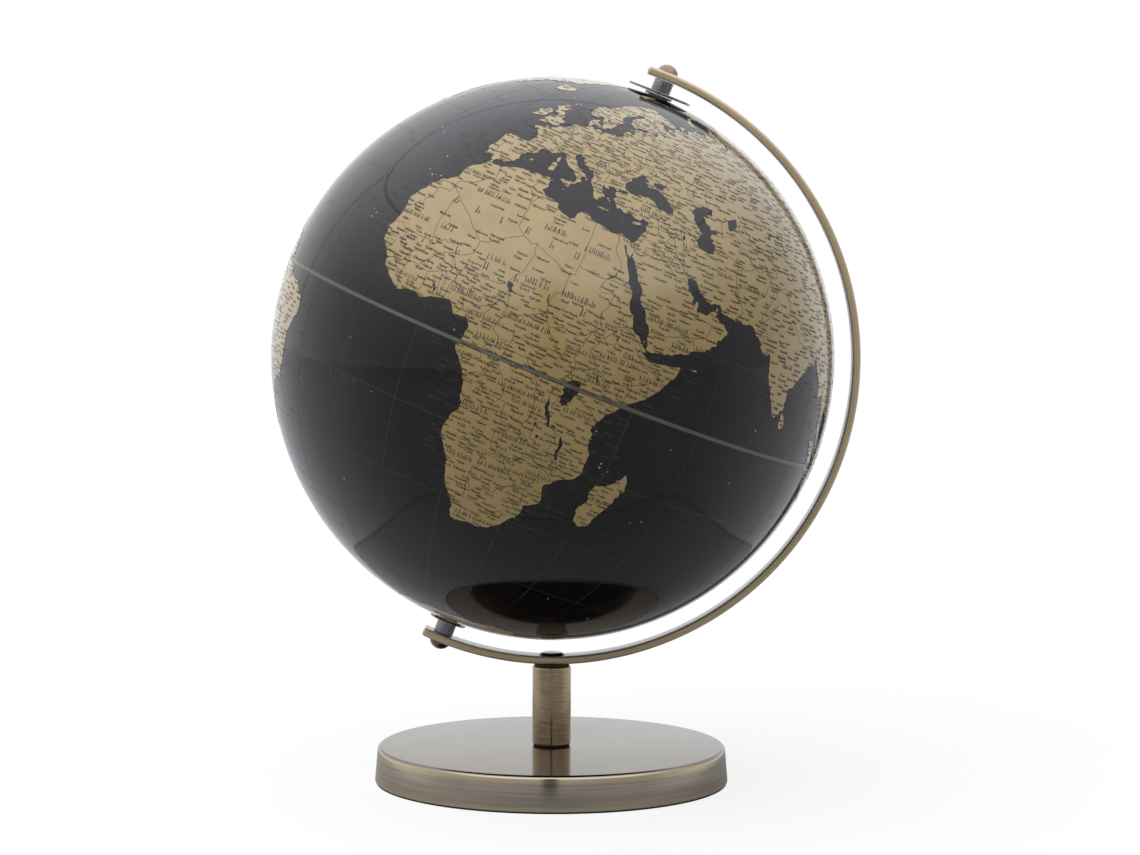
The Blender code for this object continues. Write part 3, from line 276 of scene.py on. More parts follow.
BORDERS = """
-22 351 -17 345 -12 323 -30 317 -37 308 -50 297 -87 287 -87 277; -87 277 -131 277; -87 277 -87 260 -120 260
-120 235 -131 228 -130 213 -169 213; -87 273 -48 250 12 211 32 197 42 191 58 195 120 235; -48 250 -65 250
-55 155 -93 155 -114 156 -122 148 -145 166 -165 161; 120 235 99 248 99 264 97 273 99 290 95 302 90 321 75
333 83 351 86 369; 95 302 103 317 115 332; 120 235 142 226 151 230 240 195; 151 230 159 205 154 170 135 143
137 130; 250 317 248 300 250 292 250 220; 250 220 331 220 368 220; 250 220 250 200 240 200 240 157 230 157
222 130 229 111; 135 137 125 131 90 128 66 131 41 135 36 117 27 90 27 64; 42 191 42 165 27 154 10 150 2 149
-20 142 -30 132 -54 104 -55 102 -28 97 0 110 9 110 22 126 10 133 2 149; 22 126 36 117; -28 94 -26 70 -31 51;
0 110 5 83 12 61; 9 110 16 90 16 62; -121 148 -121 124 -115 122 -90 124 -80 102 -55 102; -168 135 -138 134;
-167 124 -137 126 -137 117 -150 109; -133 90 -111 100 -104 84 -115 69; -104 84 -85 76 -75 43; -85 76 -80
102; 85 48 92 64 116 65 125 85 137 110 141 126; 141 126 151 100 155 75 144 60 145 45 160 35 162 22; 98 23
113 22 131 22 162 17 162 35 186 35 182 15 177 -5 165 -20 160 -42 152 -47 133 -46 128 -45 122 -57; 131 22 143
14 139 -5 144 -13 125 -22 112 -37; 155 75 188 90 225 110 229 111; 186 35 185 45 195 51 224 41 251 50 274 51;
229 111 241 86 264 66 274 51; 241 87 270 98 288 94 310 98 331 121 341 95; 341 95 330 79 353 50; 274 51 300
42 309 35 340 42 353 50; 341 95 343 106 361 127 366 143 379 149 400 145 423 125; 366 143 370 171 386 180;
423 125 418 110 428 102 440 90 469 80 479 80 450 50 420 42 419 39; 353 50 358 48 381 36 395 34 419 39 410 28
410 -8 416 -17; 339 -10 377 -31 392 -47; 340 42 345 33 339 1; 309 35 312 22 299 6 296 -13 305 -11 309 -23
300 -45 294 -43 290 -28 296 -13; 308 -83 329 -94 340 -95; 347 -116 383 -113 404 -105; 308 -83 289 -85 284
-93 285 -120 298 -122 298 -134 290 -134 275 -120 253 -112 240 -109; 122 -58 165 -59 170 -72 195 -70 217 -73
219 -98 223 -111 240 -109 240 -130 219 -130 219 -161 234 -176; 117 -172 140 -174 184 -174 214 -179 234 -176
250 -178; 210 -183 210 -220 200 -220 200 -284 174 -285 164 -286; 214 -182 235 -183 250 -178; 200 -248 208
-268 228 -255 257 -254 264 -241 294 -222 313 -224; 252 -178 261 -193 277 -205 294 -222; 252 -178 270 -179
288 -160 304 -156 329 -167 327 -200 313 -224 319 -243 320 -258 319 -268 329 -268; 320 -258 310 -258 308 -268
319 -273; 270 -296 289 -286 294 -296 281 -305 270 -296; 329 -94 333 -108 327 -137 345 -145 343 -160 353 -171
358 -160 345 -126; 304 -156 302 -148 332 -140; 428 164 432 174 464 172 520 190 531 167; 520 190 550 200 557
220 552 228 526 230 516 242; 350 294 361 292 375 300 370 315 392 321 421 311 447 292 474 291 484 286; 466
291 477 301; 480 300 473 320 454 340 463 356 448 372; 392 321 388 334 411 344 424 371 448 372 443 394 438
404 415 415; 424 371 386 367 366 362; 350 294 355 318 357 327 388 334; 355 331 364 343 359 346; 342 313 349
295; 400 434 424 432 466 419 485 419; 488 384 470 394 448 397; 466 419 450 413 435 411; 539 373 562 380 592
375 612 366 608 344 605 336 609 318 617 313 609 299; 609 299 628 282 632 272 618 262 616 252; 609 299 664
297 664 313 693 319 713 347 717 365 746 371; 612 356 645 363 668 373 708 385 717 367; 682 237 711 244 696
270 729 300 746 317 738 343 778 355; 778 355 788 322 811 302 841 288 880 279 893 275 918 278 973 283; 811
302 802 288 832 274 880 264 881 279; 890 221 885 244 888 262 923 251 913 240 924 217 934 240 947 261 973 283
987 275 976 245 987 220 1011 215 1000 204 973 185 985 150 992 118 988 100; 490 462 467 484 476 504 514 517
553 510 614 508 617 530 688 552 712 541 738 540 765 545 777 533 800 508 835 509 871 491; 524 417 545 413 560
413 560 450 586 456 611 440 660 425 662 410 681 411 692 413 710 422 735 430 802 420 803 450 825 452 855 472
871 491 878 490 920 507 980 500 1020 513 1070 498 1165 498 1197 467 1119 437 1050 416 967 427 912 452 878
490; 1165 498 1200 530 1258 530 1280 497 1306 489 1350 483 1331 451 1313 428; 735 430 739 405 737 395 746
371; 692 413 730 401 737 395; 560 413 590 423 605 412 625 400 665 375; -74 372 -73 385 -66 413 -81 418 -88
419; -18 434 7 427 31 424; 75 438 70 447 70 459 61 463 75 476 82 490 61 495 25 511; 70 459 90 459 104 469
123 467 137 465; 75 476 96 475 130 475 137 487; 137 487 121 503 148 509 142 539; 148 509 188 496 225 491;
161 469 171 481 202 483 229 480 212 461 188 459 165 465 161 469; 229 480 266 483 281 455; 212 461 225 444
286 438; 135 455 158 462 190 449 193 425 210 409 226 413 228 435 225 444; 202 396 210 409 230 413 263 417;
193 419 205 420 210 409; 263 417 280 420; 199 544 228 543 236 526 240 505 225 491; 210 563 250 563 281 561;
244 579 273 575 276 593 278 561 310 555 325 535 317 521; 240 519 305 513 340 520 400 498 382 471; 278 605
310 625 299 665 290 690; 112 590 121 610 120 633 145 662 180 683 205 690 289 690; 241 658 235 680 205 690;
86 549 99 548; 61 508 70 533; -1228 490 -951 490 -885 483 -832 461 -824 427 -792 433 -747 450 -715 450 -703
465 -678 471 -670 450; -1410 696 -1410 603 -1300 559; -1171 325 -1110 313 -1063 318 -1031 289 -1014 298 -992
265 -971 259; -922 145 -905 160 -893 178 -910 178 -883 183; -516 41 -560 20 -600 50 -640 40 -668 12 -698 6
-699 -42 -740 -75 -707 -110 -690 -110 -653 -98 -601 -135 -582 -163 -579 -221 -543 -240 -546 -257 -537 -272
-576 -302 -534 -338; -713 118 -725 90 -675 62 -668 12; -789 14 -752 -1 -699 -42; -803 -34 -784 -45 -752 -1;
-690 -110 -690 -165 -695 -175 -704 -183; -695 -175 -676 -228 -690 -275 -700 -330 -713 -390 -717 -440 -732
-500 -684 -523; -676 -228 -640 -220 -580 -200 -579 -221; -627 -222 -578 -252 -558 -273 -546 -257; -576 -302
-584 -339; 1001 204 1010 175 1040 180 1053 145 1022 135 1029 117; 1021 224 1040 200 1075 145 1044 104; 1021
224 1053 233 1080 216; 1290 -149 1290 -316; 1380 -166 1380 -260 1290 -260; 1410 -260 1410 -380; 1380 -260
1410 -260; 1410 -290 1536 -283; 1410 -340 1500 -374; 1410 -26 1410 -91; 1245 399 1280 415 1306 423; 1261 377
1284 386; -1110 490 -1110 313; -1040 490 -1040 410 -1030 365 -1030 320; -960 490 -965 430 -950 400 -945 335
-935 298; -1240 460 -1170 460 -1170 420 -1200 420 -1200 390 -1146 350; -1170 420 -1110 410; -1090 370 -1000
370 -950 365 -890 365 -800 366 -760 366; -911 430 -875 425; -910 300 -910 350; -880 302 -880 350; -850 310
-855 350
"""
RIVERS = """
305 314 311 300 309 280 328 260 329 240; 312 215 305 195 320 190 335 197 339 178 326 156 325 120 315 95 308
60 316 35 314 22 325 4; 326 156 343 118 355 103 373 110 374 116; -100 95 -60 130 -30 167 0 169 30 120 55 90
66 78 61 44; 66 78 100 75 134 92; 124 -60 155 -43 175 -5 195 20 225 21 252 5 260 -20 270 -60 265 -95; 362
-187 330 -165 305 -156; 270 -179 258 -178 232 -165 228 -135; 165 -286 200 -287 238 -290 272 -305; 175 -5 195
-30 205 -70 195 -90; 485 300 470 310 440 335 410 345 388 360 385 390 405 397; 470 310 445 332 431 363 410
378; 675 240 690 277 712 305 723 340 750 355 800 325; 905 230 880 245 830 255 790 290; 297 452 280 445 225
440 190 455 190 478 165 482 130 487 90 480; 478 458 450 485 465 515 492 535 490 558 440 562 385 575 330 570;
323 466 350 480 310 505 310 540; 393 472 435 488 400 510 390 530; 518 470 515 512 585 515 590 540; 690 665
670 640 690 610 840 560 850 525; 690 610 712 582 735 550 770 520 840 480; 828 710 868 660 900 600 930 550
940 518; 1270 725 1235 650 1295 620 1150 600 1070 545; 595 437 620 410 660 375 710 375; 610 462 650 445 680
420 710 410; 1215 315 1160 297 1110 303 1050 290 1000 270 980 320; 1185 378 1140 350 1100 350 1100 400 1065
390 1030 360 980 345; 1065 100 1055 140 1045 175 1010 200 1000 230 980 300; 1410 530 1350 484 1280 500 1220
530; -500 0 -550 -20 -600 -32 -650 -30 -700 -40 -745 -45; -893 292 -912 320 -900 365 -912 405 -932 450 -950
475; -903 388 -960 410 -1005 445 -1035 480 -1110 475; -1350 690 -1285 660 -1240 620 -1170 612; -585 -340
-600 -300 -585 -273 -545 -255 -510 -205; 355 -240 320 -222 290 -222 270 -240; 425 2 430 30 420 55; 137 455
90 452 75 450; 45 520 70 500 80 490 76 476
"""

# Labels, four numbers each: lon and lat of the centre in tenths of a degree, width in degrees, and letter
# height in tenths of a millimetre, before COUNTRY_SCALE. BIG_LETTERS has lon and lat only.
COUNTRY_LABELS = """
11 289 9 14 176 270 5 15 276 258 6 15 187 158 5 16 275 160 7 16 93 170 4 14 -38 190 4 14 -125 190 8 12 66 88
7 14 113 59 8 12 200 80 10 12 386 79 7 13 318 68 7 11 468 64 6 12 146 26 6 12 105 -17 6 10 162 -105 6 13 259
-134 5 12 353 -44 6 12 368 25 4 12 166 -206 6 13 241 -203 7 12 244 -325 10 12 241 -44 10 11 257 -62 6 11 470
-190 5 11 458 195 10 12 501 163 4 13 550 173 3 13 575 334 4 12 471 362 3 12 362 392 6 12 790 200 4 12 655
325 9 11 680 480 12 12 -20 400 4 11 25 465 5 10 105 510 6 9 310 490 6 10 1050 350 8 16 1030 465 8 13 950 620
16 18 1180 560 10 12 1340 -250 14 18 -520 -100 12 18 -650 -350 8 14 -750 -100 5 12 -660 -170 6 11 -730 40 7
11 -660 75 8 11 -1050 580 14 18 -990 400 16 18 -1030 245 7 13 1110 5 6 11 1430 -65 8 10 1380 365 4 11 850
285 4 9 960 215 4 11 1010 155 5 10 -60 320 6 11 -70 75 6 10 130 -125 4 9 345 -185 8 10 300 -195 8 10 -400
730 8 14 0 -780 14 18 900 -750 14 16 -900 -790 12 14
"""
BIG_LETTERS = "-59 249 1 248 63 246 122 247 182 239 238 237 -72 152 10 156 79 151 147 151 223 139 292 138"
OCEAN_LABELS = """
-230 -160 26 22 -300 250 24 22 740 -180 24 22 650 130 8 14 -300 -420 20 20 -1500 200 26 22 -1200 -250 26 22
1700 300 24 22 -1600 -350 24 20 100 740 12 14 900 -500 24 20 -20 20 8 12 880 130 8 12 1150 150 6 12 -750 150
7 11 -900 250 7 11 -450 350 20 20
"""

RADIUS = (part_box("north_hemisphere")[1].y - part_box("north_hemisphere")[0].y) / 2
JOINT = frame["joints"][0]
CENTRE = np.array(JOINT["pos_m"])
TILT = math.atan2(JOINT["axis"][0], JOINT["axis"][2])
MAP_SPIN = math.radians(-117.76)   # turns the map so that longitude 28 E faces the front
POLAR = Matrix.Rotation(TILT, 4, "Y")
MAP_AXES = np.array((POLAR @ Matrix.Rotation(MAP_SPIN, 4, "Z")).to_3x3())
NORTH_AXIS = MAP_AXES[:, 2]

# sizes in millimetres, as in the CAD
SHELL_HOLE, SHELL_SEAM, SHELL_WALL = 4.9, 0.1, 2.0
ARM_INNER, ARM_OUTER, ARM_HALF_WIDTH, ARM_PAST_POLE, ARM_EDGE_ROUND = 133.0, 136.6, 6.4, 8.6, 1.3
BASE_TOP = 16.3
PIVOT_HEAD_RADIUS, PIVOT_HEAD_SEAT, PIVOT_HEAD_TOP = 4.7, 136.9, 140.1
BORE, SPACER_RADIUS, SPACER_TOP, WASHER_UNDERSIDE = 2.3, 4.4, 132.7, 126.3
ARM_SCREW_TOP = 58.4

# heights of the printed layers over the shell, in millimetres
LAND_HEIGHT, LINE_HEIGHT, RIVER_HEIGHT, TAPE_HEIGHT, NAME_HEIGHT = 0.08, 0.12, 0.125, 0.13, 0.15
GRID_HEIGHT, SEA_NAME_HEIGHT = 0.045, 0.05

# longest edges of the printed outlines, in degrees
COAST_EDGE, BORDER_EDGE, RIVER_EDGE = 0.42, 0.9, 0.5


# ---------------------------------------------------------------- geometry helpers

def add_object(name, mesh, material, body, replaced=()):
    obj = bpy.data.objects.new(name, mesh)
    bpy.context.scene.collection.objects.link(obj)
    mesh.materials.append(material)
    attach(obj, body)
    if replaced:
        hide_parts(*replaced)
    return obj


def make_mesh(name, points, faces):
    mesh = bpy.data.meshes.new(name)
    mesh.from_pydata([tuple(p) for p in points], [], [tuple(f) for f in faces])
    mesh.validate()
    mesh.shade_smooth()
    return mesh


def unit(lon, lat):
    """World directions from the middle of the globe, at rest, of longitudes and latitudes in degrees."""
    lon, lat = np.radians(lon), np.radians(lat)
    local = np.stack([np.cos(lat) * np.cos(lon), np.cos(lat) * np.sin(lon), np.sin(lat)], -1)
    return local @ MAP_AXES.T


def step(value, low, high):
    """Rise smoothly from 0 at low to 1 at high."""
    t = np.clip((value - low) / (high - low), 0.0, 1.0)
    return t * t * (3 - 2 * t)


def chart(lon, lat):
    """Directions of a place on the printed map, which lies up to 2 degrees low in south-west Asia."""
    low = 2.1 * step(lon, 28.0, 50.0) * step(lat, 4.0, 18.0) * step(lat, 75.0, 50.0) * step(lon, 150.0, 100.0)
    return unit(lon, lat - low)


def split_paths(text):
    """Turn a table of tenths of a degree into arrays of directions, one for each path."""
    for part in text.split(";"):
        values = np.array([int(v) for v in part.split()], float).reshape(-1, 2) / 10
        yield chart(values[:, 0], values[:, 1])


def normalise(v):
    return v / np.linalg.norm(v, axis=-1, keepdims=True)


def crinkle(path, closed, rough, longest, rng):
    """Halve edges longer than `longest` degrees, and push each new point sideways at random. `rough` is the
    usual push as a share of the edge."""
    longest = math.radians(longest)
    points = list(path)
    while True:
        count = len(points)
        grown = []
        changed = False
        for i in range(count if closed else count - 1):
            a, b = points[i], points[(i + 1) % count]
            grown.append(a)
            length = math.sqrt(sum((a - b) ** 2))
            if length > longest:
                side = np.cross(a, b)
                side = side / np.linalg.norm(side)
                shift = max(-1.8, min(1.8, rng.gauss(0, 1))) * rough * length
                mid = a + b
                mid = mid / np.linalg.norm(mid) + side * shift
                grown.append(mid / np.linalg.norm(mid))
                changed = True
        if not closed:
            grown.append(points[-1])
        points = grown
        if not changed:
            return np.array(points)


def lattice(count):
    """Evenly spread directions over the whole ball."""
    i = np.arange(count) + 0.5
    z = 1 - 2 * i / count
    turn = math.pi * (1 + math.sqrt(5)) * i
    r = np.sqrt(1 - z * z)
    return np.stack([r * np.cos(turn), r * np.sin(turn), z], -1)


GRID = lattice(15000)
GRID_STEP = math.sqrt(4 * math.pi / len(GRID))
CHUNK = 400   # rows compared at a time, so that no array grows too large


def inside(points, outline):
    """Even-odd test of 2-D points against a closed outline."""
    result = np.zeros(len(points), bool)
    a, b = outline, np.roll(outline, -1, axis=0)
    for start in range(0, len(points), CHUNK):
        x = points[start:start + CHUNK, :1]
        y = points[start:start + CHUNK, 1:]
        straddle = (a[:, 1] > y) != (b[:, 1] > y)
        with np.errstate(divide="ignore", invalid="ignore"):
            cross = (b[:, 0] - a[:, 0]) * (y - a[:, 1]) / (b[:, 1] - a[:, 1]) + a[:, 0]
        result[start:start + CHUNK] = (np.sum(straddle & (x < cross), axis=1) % 2) == 1
    return result


def fill_outline(outline):
    """Triangulate a closed path on the ball, laid flat about its middle. Returns directions and triangles."""
    middle = normalise(outline.sum(0))
    east = normalise(np.cross(middle, [0.31, 0.87, 0.39]))
    north = np.cross(middle, east)

    def flatten(directions):
        angle = np.arccos(np.clip(directions @ middle, -1, 1))
        flat = np.stack([directions @ east, directions @ north], -1)
        size = np.linalg.norm(flat, axis=1)
        return flat * (angle / np.maximum(size, 1e-12))[:, None], angle

    flat, angle = flatten(outline)
    near = GRID[GRID @ middle > math.cos(min(math.pi, angle.max()))]
    inner = np.zeros((0, 2))
    if len(near):
        spots, _ = flatten(near)
        spots = spots[inside(spots, flat)]
        if len(spots):
            # grid points too near the outline would make slivers
            gap = np.min(np.stack([np.min(np.linalg.norm(spots[:, None] - part[None], axis=2), axis=1)
                                   for part in np.array_split(flat, max(1, len(flat) // CHUNK))]), axis=0)
            inner = spots[gap > 0.45 * GRID_STEP]
    count = len(flat)
    points = [Vector(p) for p in flat.tolist() + inner.tolist()]
    edges = [(i, (i + 1) % count) for i in range(count)]
    found, _, faces, _, _, _ = delaunay_2d_cdt(points, edges, [], 1, 1e-7)
    spots = np.array([tuple(p) for p in found])
    size = np.linalg.norm(spots, axis=1)
    scale = np.where(size > 1e-9, np.sin(size) / np.maximum(size, 1e-9), 1.0)
    sideways = (spots[:, :1] * east + spots[:, 1:] * north) * scale[:, None]
    directions = np.cos(size)[:, None] * middle + sideways
    outward = []
    for f in faces:
        a, b, c = (directions[i] for i in f[:3])
        outward.append(tuple(f) if np.dot(np.cross(b - a, c - a), a) > 0 else tuple(reversed(f)))
    return directions, outward


class Print:
    """A thin printed layer: directions on the ball with faces, all at one height above the shell."""

    def __init__(self, name, height, material):
        self.name, self.height, self.material = name, height * MM, material
        self.points, self.faces = [], []

    def add(self, directions, faces):
        base = len(self.points)
        self.points.extend(directions)
        self.faces.extend(tuple(base + i for i in f) for f in faces)

    def ribbon(self, path, width, closed=False):
        """A line of that width in millimetres along a path of directions."""
        ahead, behind = np.roll(path, -1, axis=0), np.roll(path, 1, axis=0)
        if not closed:
            ahead[-1], behind[0] = path[-1], path[0]
        side = normalise(np.cross(path, ahead - behind)) * (width / 2 * MM / RADIUS)
        points = np.empty((2 * len(path), 3))
        points[0::2], points[1::2] = path + side, path - side
        spans = len(path) if closed else len(path) - 1
        count = len(points)
        self.add(normalise(points),
                 [(2 * i, 2 * i + 1, (2 * i + 3) % count, (2 * i + 2) % count) for i in range(spans)])

    def build(self):
        directions = np.array(self.points)
        mesh = make_mesh(self.name, CENTRE + directions * (RADIUS + self.height), self.faces)
        mesh.normals_split_custom_set_from_vertices([tuple(d) for d in directions])
        add_object(self.name, mesh, self.material, "globe")


def rounded(corners, radius, steps=5):
    """Fillet the corners of an open (r, z) outline. A corner is (r, z) or (r, z, its own radius)."""
    result = [corners[0][:2]]
    for i in range(1, len(corners) - 1):
        p = Vector(corners[i][:2])
        to_last, to_next = (Vector(corners[i - 1][:2]) - p), (Vector(corners[i + 1][:2]) - p)
        r = corners[i][2] if len(corners[i]) > 2 else radius
        if r <= 0:
            result.append(tuple(p))
            continue
        half = to_last.angle(to_next) / 2
        back = min(r / math.tan(half), 0.49 * to_last.length, 0.49 * to_next.length)
        a, b = p + to_last.normalized() * back, p + to_next.normalized() * back
        for k in range(steps + 1):
            t = k / steps
            result.append(tuple((1 - t) ** 2 * a + 2 * t * (1 - t) * p + t * t * b))
    result.append(corners[-1][:2])
    return result


def mm(points):
    return [tuple(v * MM for v in p) for p in points]


def turned(name, outline, segments, material, body, replaced=(), matrix=None, closed=False):
    """Turn an (r, z) outline in metres about Z, then place it."""
    mesh = bpy.data.meshes.new(name)
    points, rows = [], []
    for r, z in outline:
        if r < 1e-7:
            rows.append([len(points)] * segments)
            points.append((0, 0, z))
        else:
            rows.append(list(range(len(points), len(points) + segments)))
            points += [(r * math.cos(2 * math.pi * k / segments), r * math.sin(2 * math.pi * k / segments), z)
                       for k in range(segments)]
    faces = []
    pairs = list(zip(rows, rows[1:])) + ([(rows[-1], rows[0])] if closed else [])
    for upper, lower in pairs:
        for k in range(segments):
            n = (k + 1) % segments
            loop = []
            for v in (upper[k], lower[k], lower[n], upper[n]):
                if v not in loop:
                    loop.append(v)
            if len(loop) > 2:
                faces.append(loop)
    mesh.from_pydata(points, [], faces)
    mesh.validate()
    if matrix is not None:
        mesh.transform(matrix)
    mesh.shade_smooth()
    mesh.set_sharp_from_angle(angle=math.radians(35))
    return add_object(name, mesh, material, body, replaced)


# ---------------------------------------------------------------- materials

class Nodes:
    """A material or a world, and short calls that add nodes to it."""

    def __init__(self, name, owner=None):
        self.material = owner or bpy.data.materials.new(name)
        self.material.use_nodes = True
        self.tree = self.material.node_tree
        self.shader = self.tree.nodes.get("Principled BSDF")

    def node(self, kind, **settings):
        node = self.tree.nodes.new(kind)
        for key, value in settings.items():
            setattr(node, key, value)
        return node

    def link(self, a, b):
        self.tree.links.new(a, b)

    def set(self, **values):
        for key, value in values.items():
            socket = self.shader.inputs[key.replace("_", " ")]
            socket.default_value = (*value, 1.0) if isinstance(value, tuple) else value

    def noise(self, vector, scale, detail=3.0, rough=0.55):
        node = self.node("ShaderNodeTexNoise")
        node.inputs["Scale"].default_value = scale
        node.inputs["Detail"].default_value = detail
        node.inputs["Roughness"].default_value = rough
        self.link(vector, node.inputs["Vector"])
        return node.outputs["Fac"]

    def ramp(self, factor, stops):
        node = self.node("ShaderNodeValToRGB")
        elements = node.color_ramp.elements
        while len(elements) < len(stops):
            elements.new(0.5)
        for element, (place, color) in zip(elements, stops):
            element.position = place
            element.color = (*color, 1.0)
        self.link(factor, node.inputs["Fac"])
        return node.outputs["Color"]

    def spread(self, value, low, high, to_low, to_high):
        node = self.node("ShaderNodeMapRange")
        for key, number in zip(("From Min", "From Max", "To Min", "To Max"), (low, high, to_low, to_high)):
            node.inputs[key].default_value = number
        self.link(value, node.inputs["Value"])
        return node.outputs["Result"]

    def math(self, operation, *values):
        node = self.node("ShaderNodeMath", operation=operation)
        for socket, value in zip(node.inputs, values):
            if isinstance(value, (int, float)):
                socket.default_value = value
            else:
                self.link(value, socket)
        return node.outputs[0]

    def mix(self, factor, a, b, blend="MIX"):
        node = self.node("ShaderNodeMix", data_type="RGBA", blend_type=blend)
        for socket, value in ((node.inputs[0], factor), (node.inputs[6], a), (node.inputs[7], b)):
            if isinstance(value, (int, float)):
                socket.default_value = value
            elif isinstance(value, tuple):
                socket.default_value = (*value, 1.0)
            else:
                self.link(value, socket)
        return node.outputs[2]

    def combine(self, x, y, z):
        node = self.node("ShaderNodeCombineXYZ")
        for socket, value in zip(node.inputs, (x, y, z)):
            self.link(value, socket)
        return node.outputs[0]

    def as_grey(self, value):
        return self.combine(value, value, value)

    def gap(self, a, b):
        """How far apart two values are."""
        return self.math("ABSOLUTE", self.math("SUBTRACT", a, b))

    def squircle(self, a, b, power):
        """A distance from the middle whose rings are rounded squares."""
        total = self.math("ADD", self.math("POWER", a, power), self.math("POWER", b, power))
        return self.math("POWER", total, 1 / power)

    def by_camera(self, path, other, seen, output):
        """Show one shader to camera rays and another to all other rays."""
        choose = self.node("ShaderNodeMixShader")
        sources = path.outputs["Is Camera Ray"], other.outputs[0], seen.outputs[0]
        for source, socket in zip(sources, choose.inputs):
            self.link(source, socket)
        self.link(choose.outputs[0], self.tree.nodes[output].inputs["Surface"])

    def place(self):
        """Object coordinates, and their x, y and z."""
        coordinates = self.node("ShaderNodeTexCoord").outputs["Object"]
        split = self.node("ShaderNodeSeparateXYZ")
        self.link(coordinates, split.inputs[0])
        return coordinates, split.outputs

    def bump(self, height, strength, distance):
        node = self.node("ShaderNodeBump")
        node.inputs["Strength"].default_value = strength
        node.inputs["Distance"].default_value = distance
        self.link(height, node.inputs["Height"])
        self.link(node.outputs[0], self.shader.inputs["Normal"])


def length_of(m, x, y):
    return m.math("SQRT", m.math("ADD", m.math("MULTIPLY", x, x), m.math("MULTIPLY", y, y)))


def grey(value):
    return (value, value, value)


def brushed(name, lie, dark, light, rough, coat=0.0, stretch=0.6, contrast=0.12, top=None, metallic=1.0):
    """Brushed metal. Its lines run round the stand ("stand"), round the globe's axis ("pole") or along the
    arm ("arm"); the arm's face towards the ball gets a painted reflection. A base cover also has the height
    of its top, in millimetres, for painted highlights on its rims and painted shade on its flat top."""
    m = Nodes(name)
    where, (x, y, z) = m.place()
    if lie == "arm":
        lift = m.math("SUBTRACT", z, float(CENTRE[2]))
        across, along, third = length_of(m, x, lift), m.math("ARCTAN2", lift, x), y
    else:
        if lie == "pole":
            turn = m.node("ShaderNodeMapping", vector_type="TEXTURE")
            turn.inputs["Location"].default_value = CENTRE
            turn.inputs["Rotation"].default_value = (0, TILT, 0)
            m.link(where, turn.inputs["Vector"])
            split = m.node("ShaderNodeSeparateXYZ")
            m.link(turn.outputs[0], split.inputs[0])
            x, y, z = split.outputs
        else:
            tangent = m.node("ShaderNodeTangent", direction_type="RADIAL", axis="Z")
            m.link(tangent.outputs[0], m.shader.inputs["Tangent"])
            m.set(Anisotropic=stretch, Anisotropic_Rotation=0.25)
        across, along, third = length_of(m, x, y), m.math("ARCTAN2", y, x), z

    def lines(pitch, run, detail):
        scaled = [m.math("MULTIPLY", *pair) for pair in ((across, pitch), (along, run), (third, pitch))]
        return m.noise(m.combine(*scaled), 1.0, detail, 0.7)

    fine, broad = lines(3600.0, 1.4, 4.0), lines(1300.0, 0.8, 3.0)
    streaks = m.math("ADD", m.math("MULTIPLY", fine, 0.55), m.math("MULTIPLY", broad, 0.45))
    color = m.ramp(streaks, [(0.5 - contrast, dark), (0.5 + contrast, light)])
    tarnish = m.spread(m.noise(where, 24.0, 4.0), 0.4, 0.7, 0.0, 0.3)
    color = m.mix(tarnish, color, tuple(0.72 * c for c in dark))
    if lie == "arm":
        # painted reflection: the face towards the ball is coloured a pale bluish grey, as it reflects the
        # ball and the light
        inner_face_reflection = m.spread(across, (ARM_INNER + 0.1) * MM, (ARM_INNER + 0.4) * MM, 1.0, 0.0)
        color = m.mix(inner_face_reflection, color, (0.50, 0.54, 0.57))
    if top:
        # painted highlights: both rims of the side are a paler gold; painted shade: the flat top is darker
        def rise(low, high, at_low, at_high):
            return m.spread(z, low * MM, high * MM, at_low, at_high)

        upper_rim_highlight = m.math("MULTIPLY", rise(top - 4.0, top - 2.8, 0.0, 0.8),
                           rise(top - 1.8, top - 0.8, 1.0, 0.0))
        color = m.mix(rise(top - 1.4, top - 0.4, 0.0, 1.0), color, m.mix(0.74, color, grey(0.0)))
        color = m.mix(m.math("MAXIMUM", upper_rim_highlight, rise(1.8, 3.0, 0.7, 0.0)), color, (0.66, 0.575, 0.37))
    m.link(color, m.shader.inputs["Base Color"])
    m.link(m.spread(streaks, 0.35, 0.65, rough[0], rough[1]), m.shader.inputs["Roughness"])
    m.set(Metallic=metallic, Coat_Weight=coat, Coat_Roughness=0.05)
    m.bump(fine, 0.10, 0.00003)
    return m.material


def plain(name, dark, light, rough, scale, metallic, grain):
    """A moulded, cast or foamed surface: uneven colour and roughness, with a fine grain."""
    m = Nodes(name)
    where, _ = m.place()
    patches = m.noise(where, scale, 4.0)
    m.link(m.ramp(patches, [(0.3, dark), (0.7, light)]), m.shader.inputs["Base Color"])
    m.link(m.spread(patches, 0.3, 0.7, rough[0], rough[1]), m.shader.inputs["Roughness"])
    m.set(Metallic=metallic)
    m.bump(m.noise(where, scale * 12, 3.0), grain, 0.0002)
    return m.material


def printed(name, dark, light, scale, sheen=0.0, metallic=0.0):
    """Ink under clear gloss varnish. The gloss is the coat; the ink below is matt, or a satin gold."""
    m = Nodes(name)
    where, _ = m.place()
    patches = m.noise(where, scale, 5.0, 0.6)
    speckle = m.noise(where, 2600.0, 2.0)
    blend = m.math("ADD", m.math("MULTIPLY", patches, 0.7), m.math("MULTIPLY", speckle, 0.3))
    m.link(m.ramp(blend, [(0.38, dark), (0.62, light)]), m.shader.inputs["Base Color"])
    m.link(m.spread(patches, 0.3, 0.7, 0.30, 0.40), m.shader.inputs["Roughness"])
    m.set(Metallic=metallic, Specular_IOR_Level=sheen, Coat_Weight=1.0, Coat_Roughness=0.012, Coat_IOR=1.5)
    return m.material


